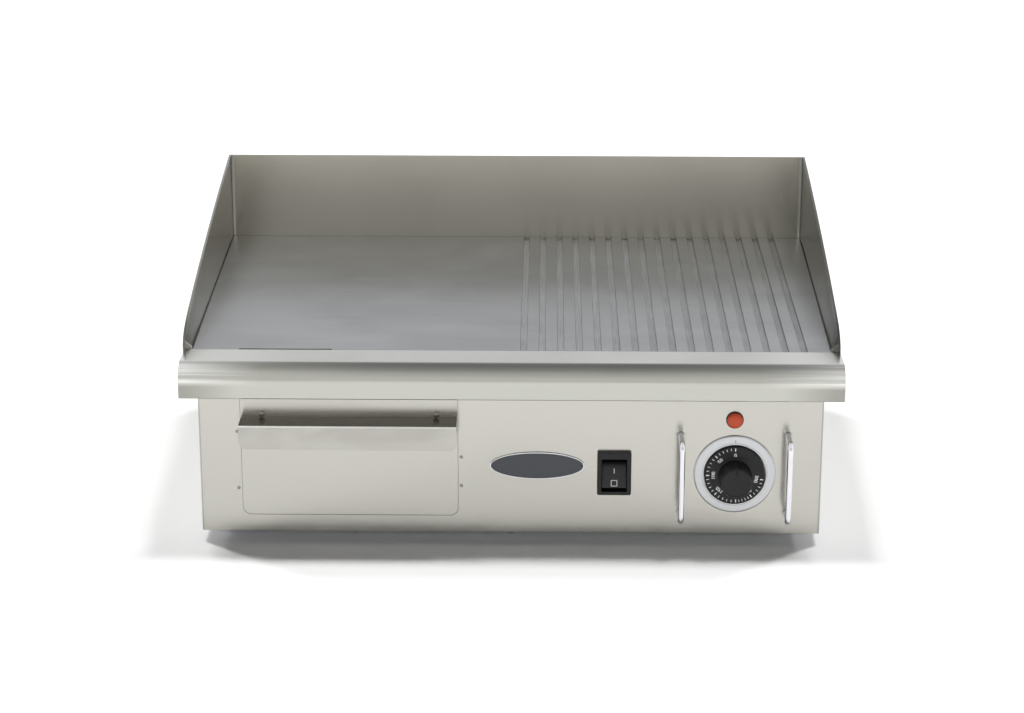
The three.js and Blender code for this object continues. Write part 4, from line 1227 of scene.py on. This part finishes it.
def badge_rim_shape():
    rim = cut(extruded(oval(0), "y", BADGE_LOW.y, BADGE_HIGH.y),
              extruded(oval(1.0), "y", BADGE_LOW.y - 1, BADGE_HIGH.y - 0.5))
    return softened(rim, 0.35, 3, 50)


piece("badge_rim", badge_rim_shape(), chrome, replaces=["badge_plate"])
badge_face = extruded(oval(1.1), "y", BADGE_LOW.y + 0.2, BADGE_HIGH.y - 0.52)
piece("badge_face", softened(badge_face, 0.2, 2, 50), enamel)


# ---- Mains connection at the rear ----

refined("cable_gland", black, 0.6)
refined("gland_nut", black, 0.5)
refined("bonding_screw", zinc, 0.3)
refined("bonding_nut", zinc, 0.4)
refined("terminal_block", cream, 0.4)


# ---- Floor, light and camera ----

def floor():
    bm = bmesh.new()
    bmesh.ops.create_grid(bm, x_segments=1, y_segments=1, size=20)
    mesh = bpy.data.meshes.new("floor")
    bm.to_mesh(mesh)
    bm.free()
    material, tree, bsdf = shader("pale floor", base_color=(0.9, 0.9, 0.9, 1), roughness=0.9)
    bsdf.inputs["Specular IOR Level"].default_value = 0
    mesh.materials.append(material)
    obj = bpy.data.objects.new("floor", mesh)
    bpy.context.scene.collection.objects.link(obj)


def soft_sun(name, strength, width, azimuth, elevation):
    """A wide soft light from a direction, kept out of mirror reflections."""
    light = bpy.data.lights.new(name, "SUN")
    light.energy = strength
    light.angle = math.radians(width)
    obj = bpy.data.objects.new(name, light)
    a, e = math.radians(azimuth), math.radians(elevation)
    source = Vector((math.sin(a) * math.cos(e), -math.cos(a) * math.cos(e), math.sin(e)))
    obj.rotation_euler = source.to_track_quat("Z", "Y").to_euler()
    obj.visible_glossy = False
    bpy.context.scene.collection.objects.link(obj)


def studio():
    """A bright wall behind the griddle, a dark strip of ceiling between bright ones, and a grey room
    in front. Only reflections see it."""
    world = bpy.data.worlds.new("studio")
    world.use_nodes = True
    world.cycles_visibility.diffuse = False
    bpy.context.scene.world = world
    tree = world.node_tree
    background = tree.nodes["Background"]
    place = tree.nodes.new("ShaderNodeTexCoord")
    split = tree.nodes.new("ShaderNodeSeparateXYZ")
    tree.links.new(place.outputs["Generated"], split.inputs["Vector"])
    away = maths(tree, "ABSOLUTE", split.outputs["X"], 0)

    def by_height(stops, tint):
        colours = [(height, tuple(level * t for t in tint)) for height, level in stops]
        return ramp(tree, split.outputs["Z"], colours)

    behind = by_height([(0.0, 1.0), (0.42, 1.0), (0.52, 0.5), (0.62, 0.28), (0.85, 0.2), (1.0, 0.24)],
                       (0.94, 0.95, 1.0))
    before = by_height([(0.0, 0.62), (0.3, 0.6), (0.5, 0.54), (0.9, 0.36), (1.0, 0.26)], (1.0, 1.0, 1.0))
    room = blended(tree, remap(tree, split.outputs["Y"], -0.25, 0.25, 0, 1), before, behind)
    overhead = remap(tree, split.outputs["Z"], 0.45, 0.60, 0, 1)
    banks = times(tree, remap(tree, away, 0.09, 0.17, 0, 0.75), overhead)
    beside = remap(tree, away, 0.55, 0.9, 0, 0.6)
    lit = maths(tree, "MAXIMUM", banks, beside)
    total = blended(tree, lit, room, (1.0, 1.0, 1.0))
    tree.links.new(total, background.inputs["Color"])
    background.inputs["Strength"].default_value = 1.25


def camera():
    data = bpy.data.cameras.new("camera")
    data.sensor_width = 36
    data.lens = 90.19
    data.clip_end = 100
    obj = bpy.data.objects.new("camera", data)
    obj.location = TO_ROW @ Vector((28.95, -2035.24, 833.97))
    obj.rotation_euler = [math.radians(a) for a in (71.55, -0.05, 0.81)]
    bpy.context.scene.collection.objects.link(obj)
    bpy.context.scene.camera = obj


floor()
BACK_SUNS = [(76, 0.82), (69, 0.55), (57, 0.26), (49, 0.10), (35, 0.26), (22, 1.06)]
for height, strength in BACK_SUNS:
    for side in (-1, 1):
        soft_sun(f"back light {side} {height}", strength, 6, 130 * side, height)
soft_sun("front fill", 1.05, 30, 0, 18)
studio()
camera()
bpy.context.scene.view_settings.view_transform = "Standard"
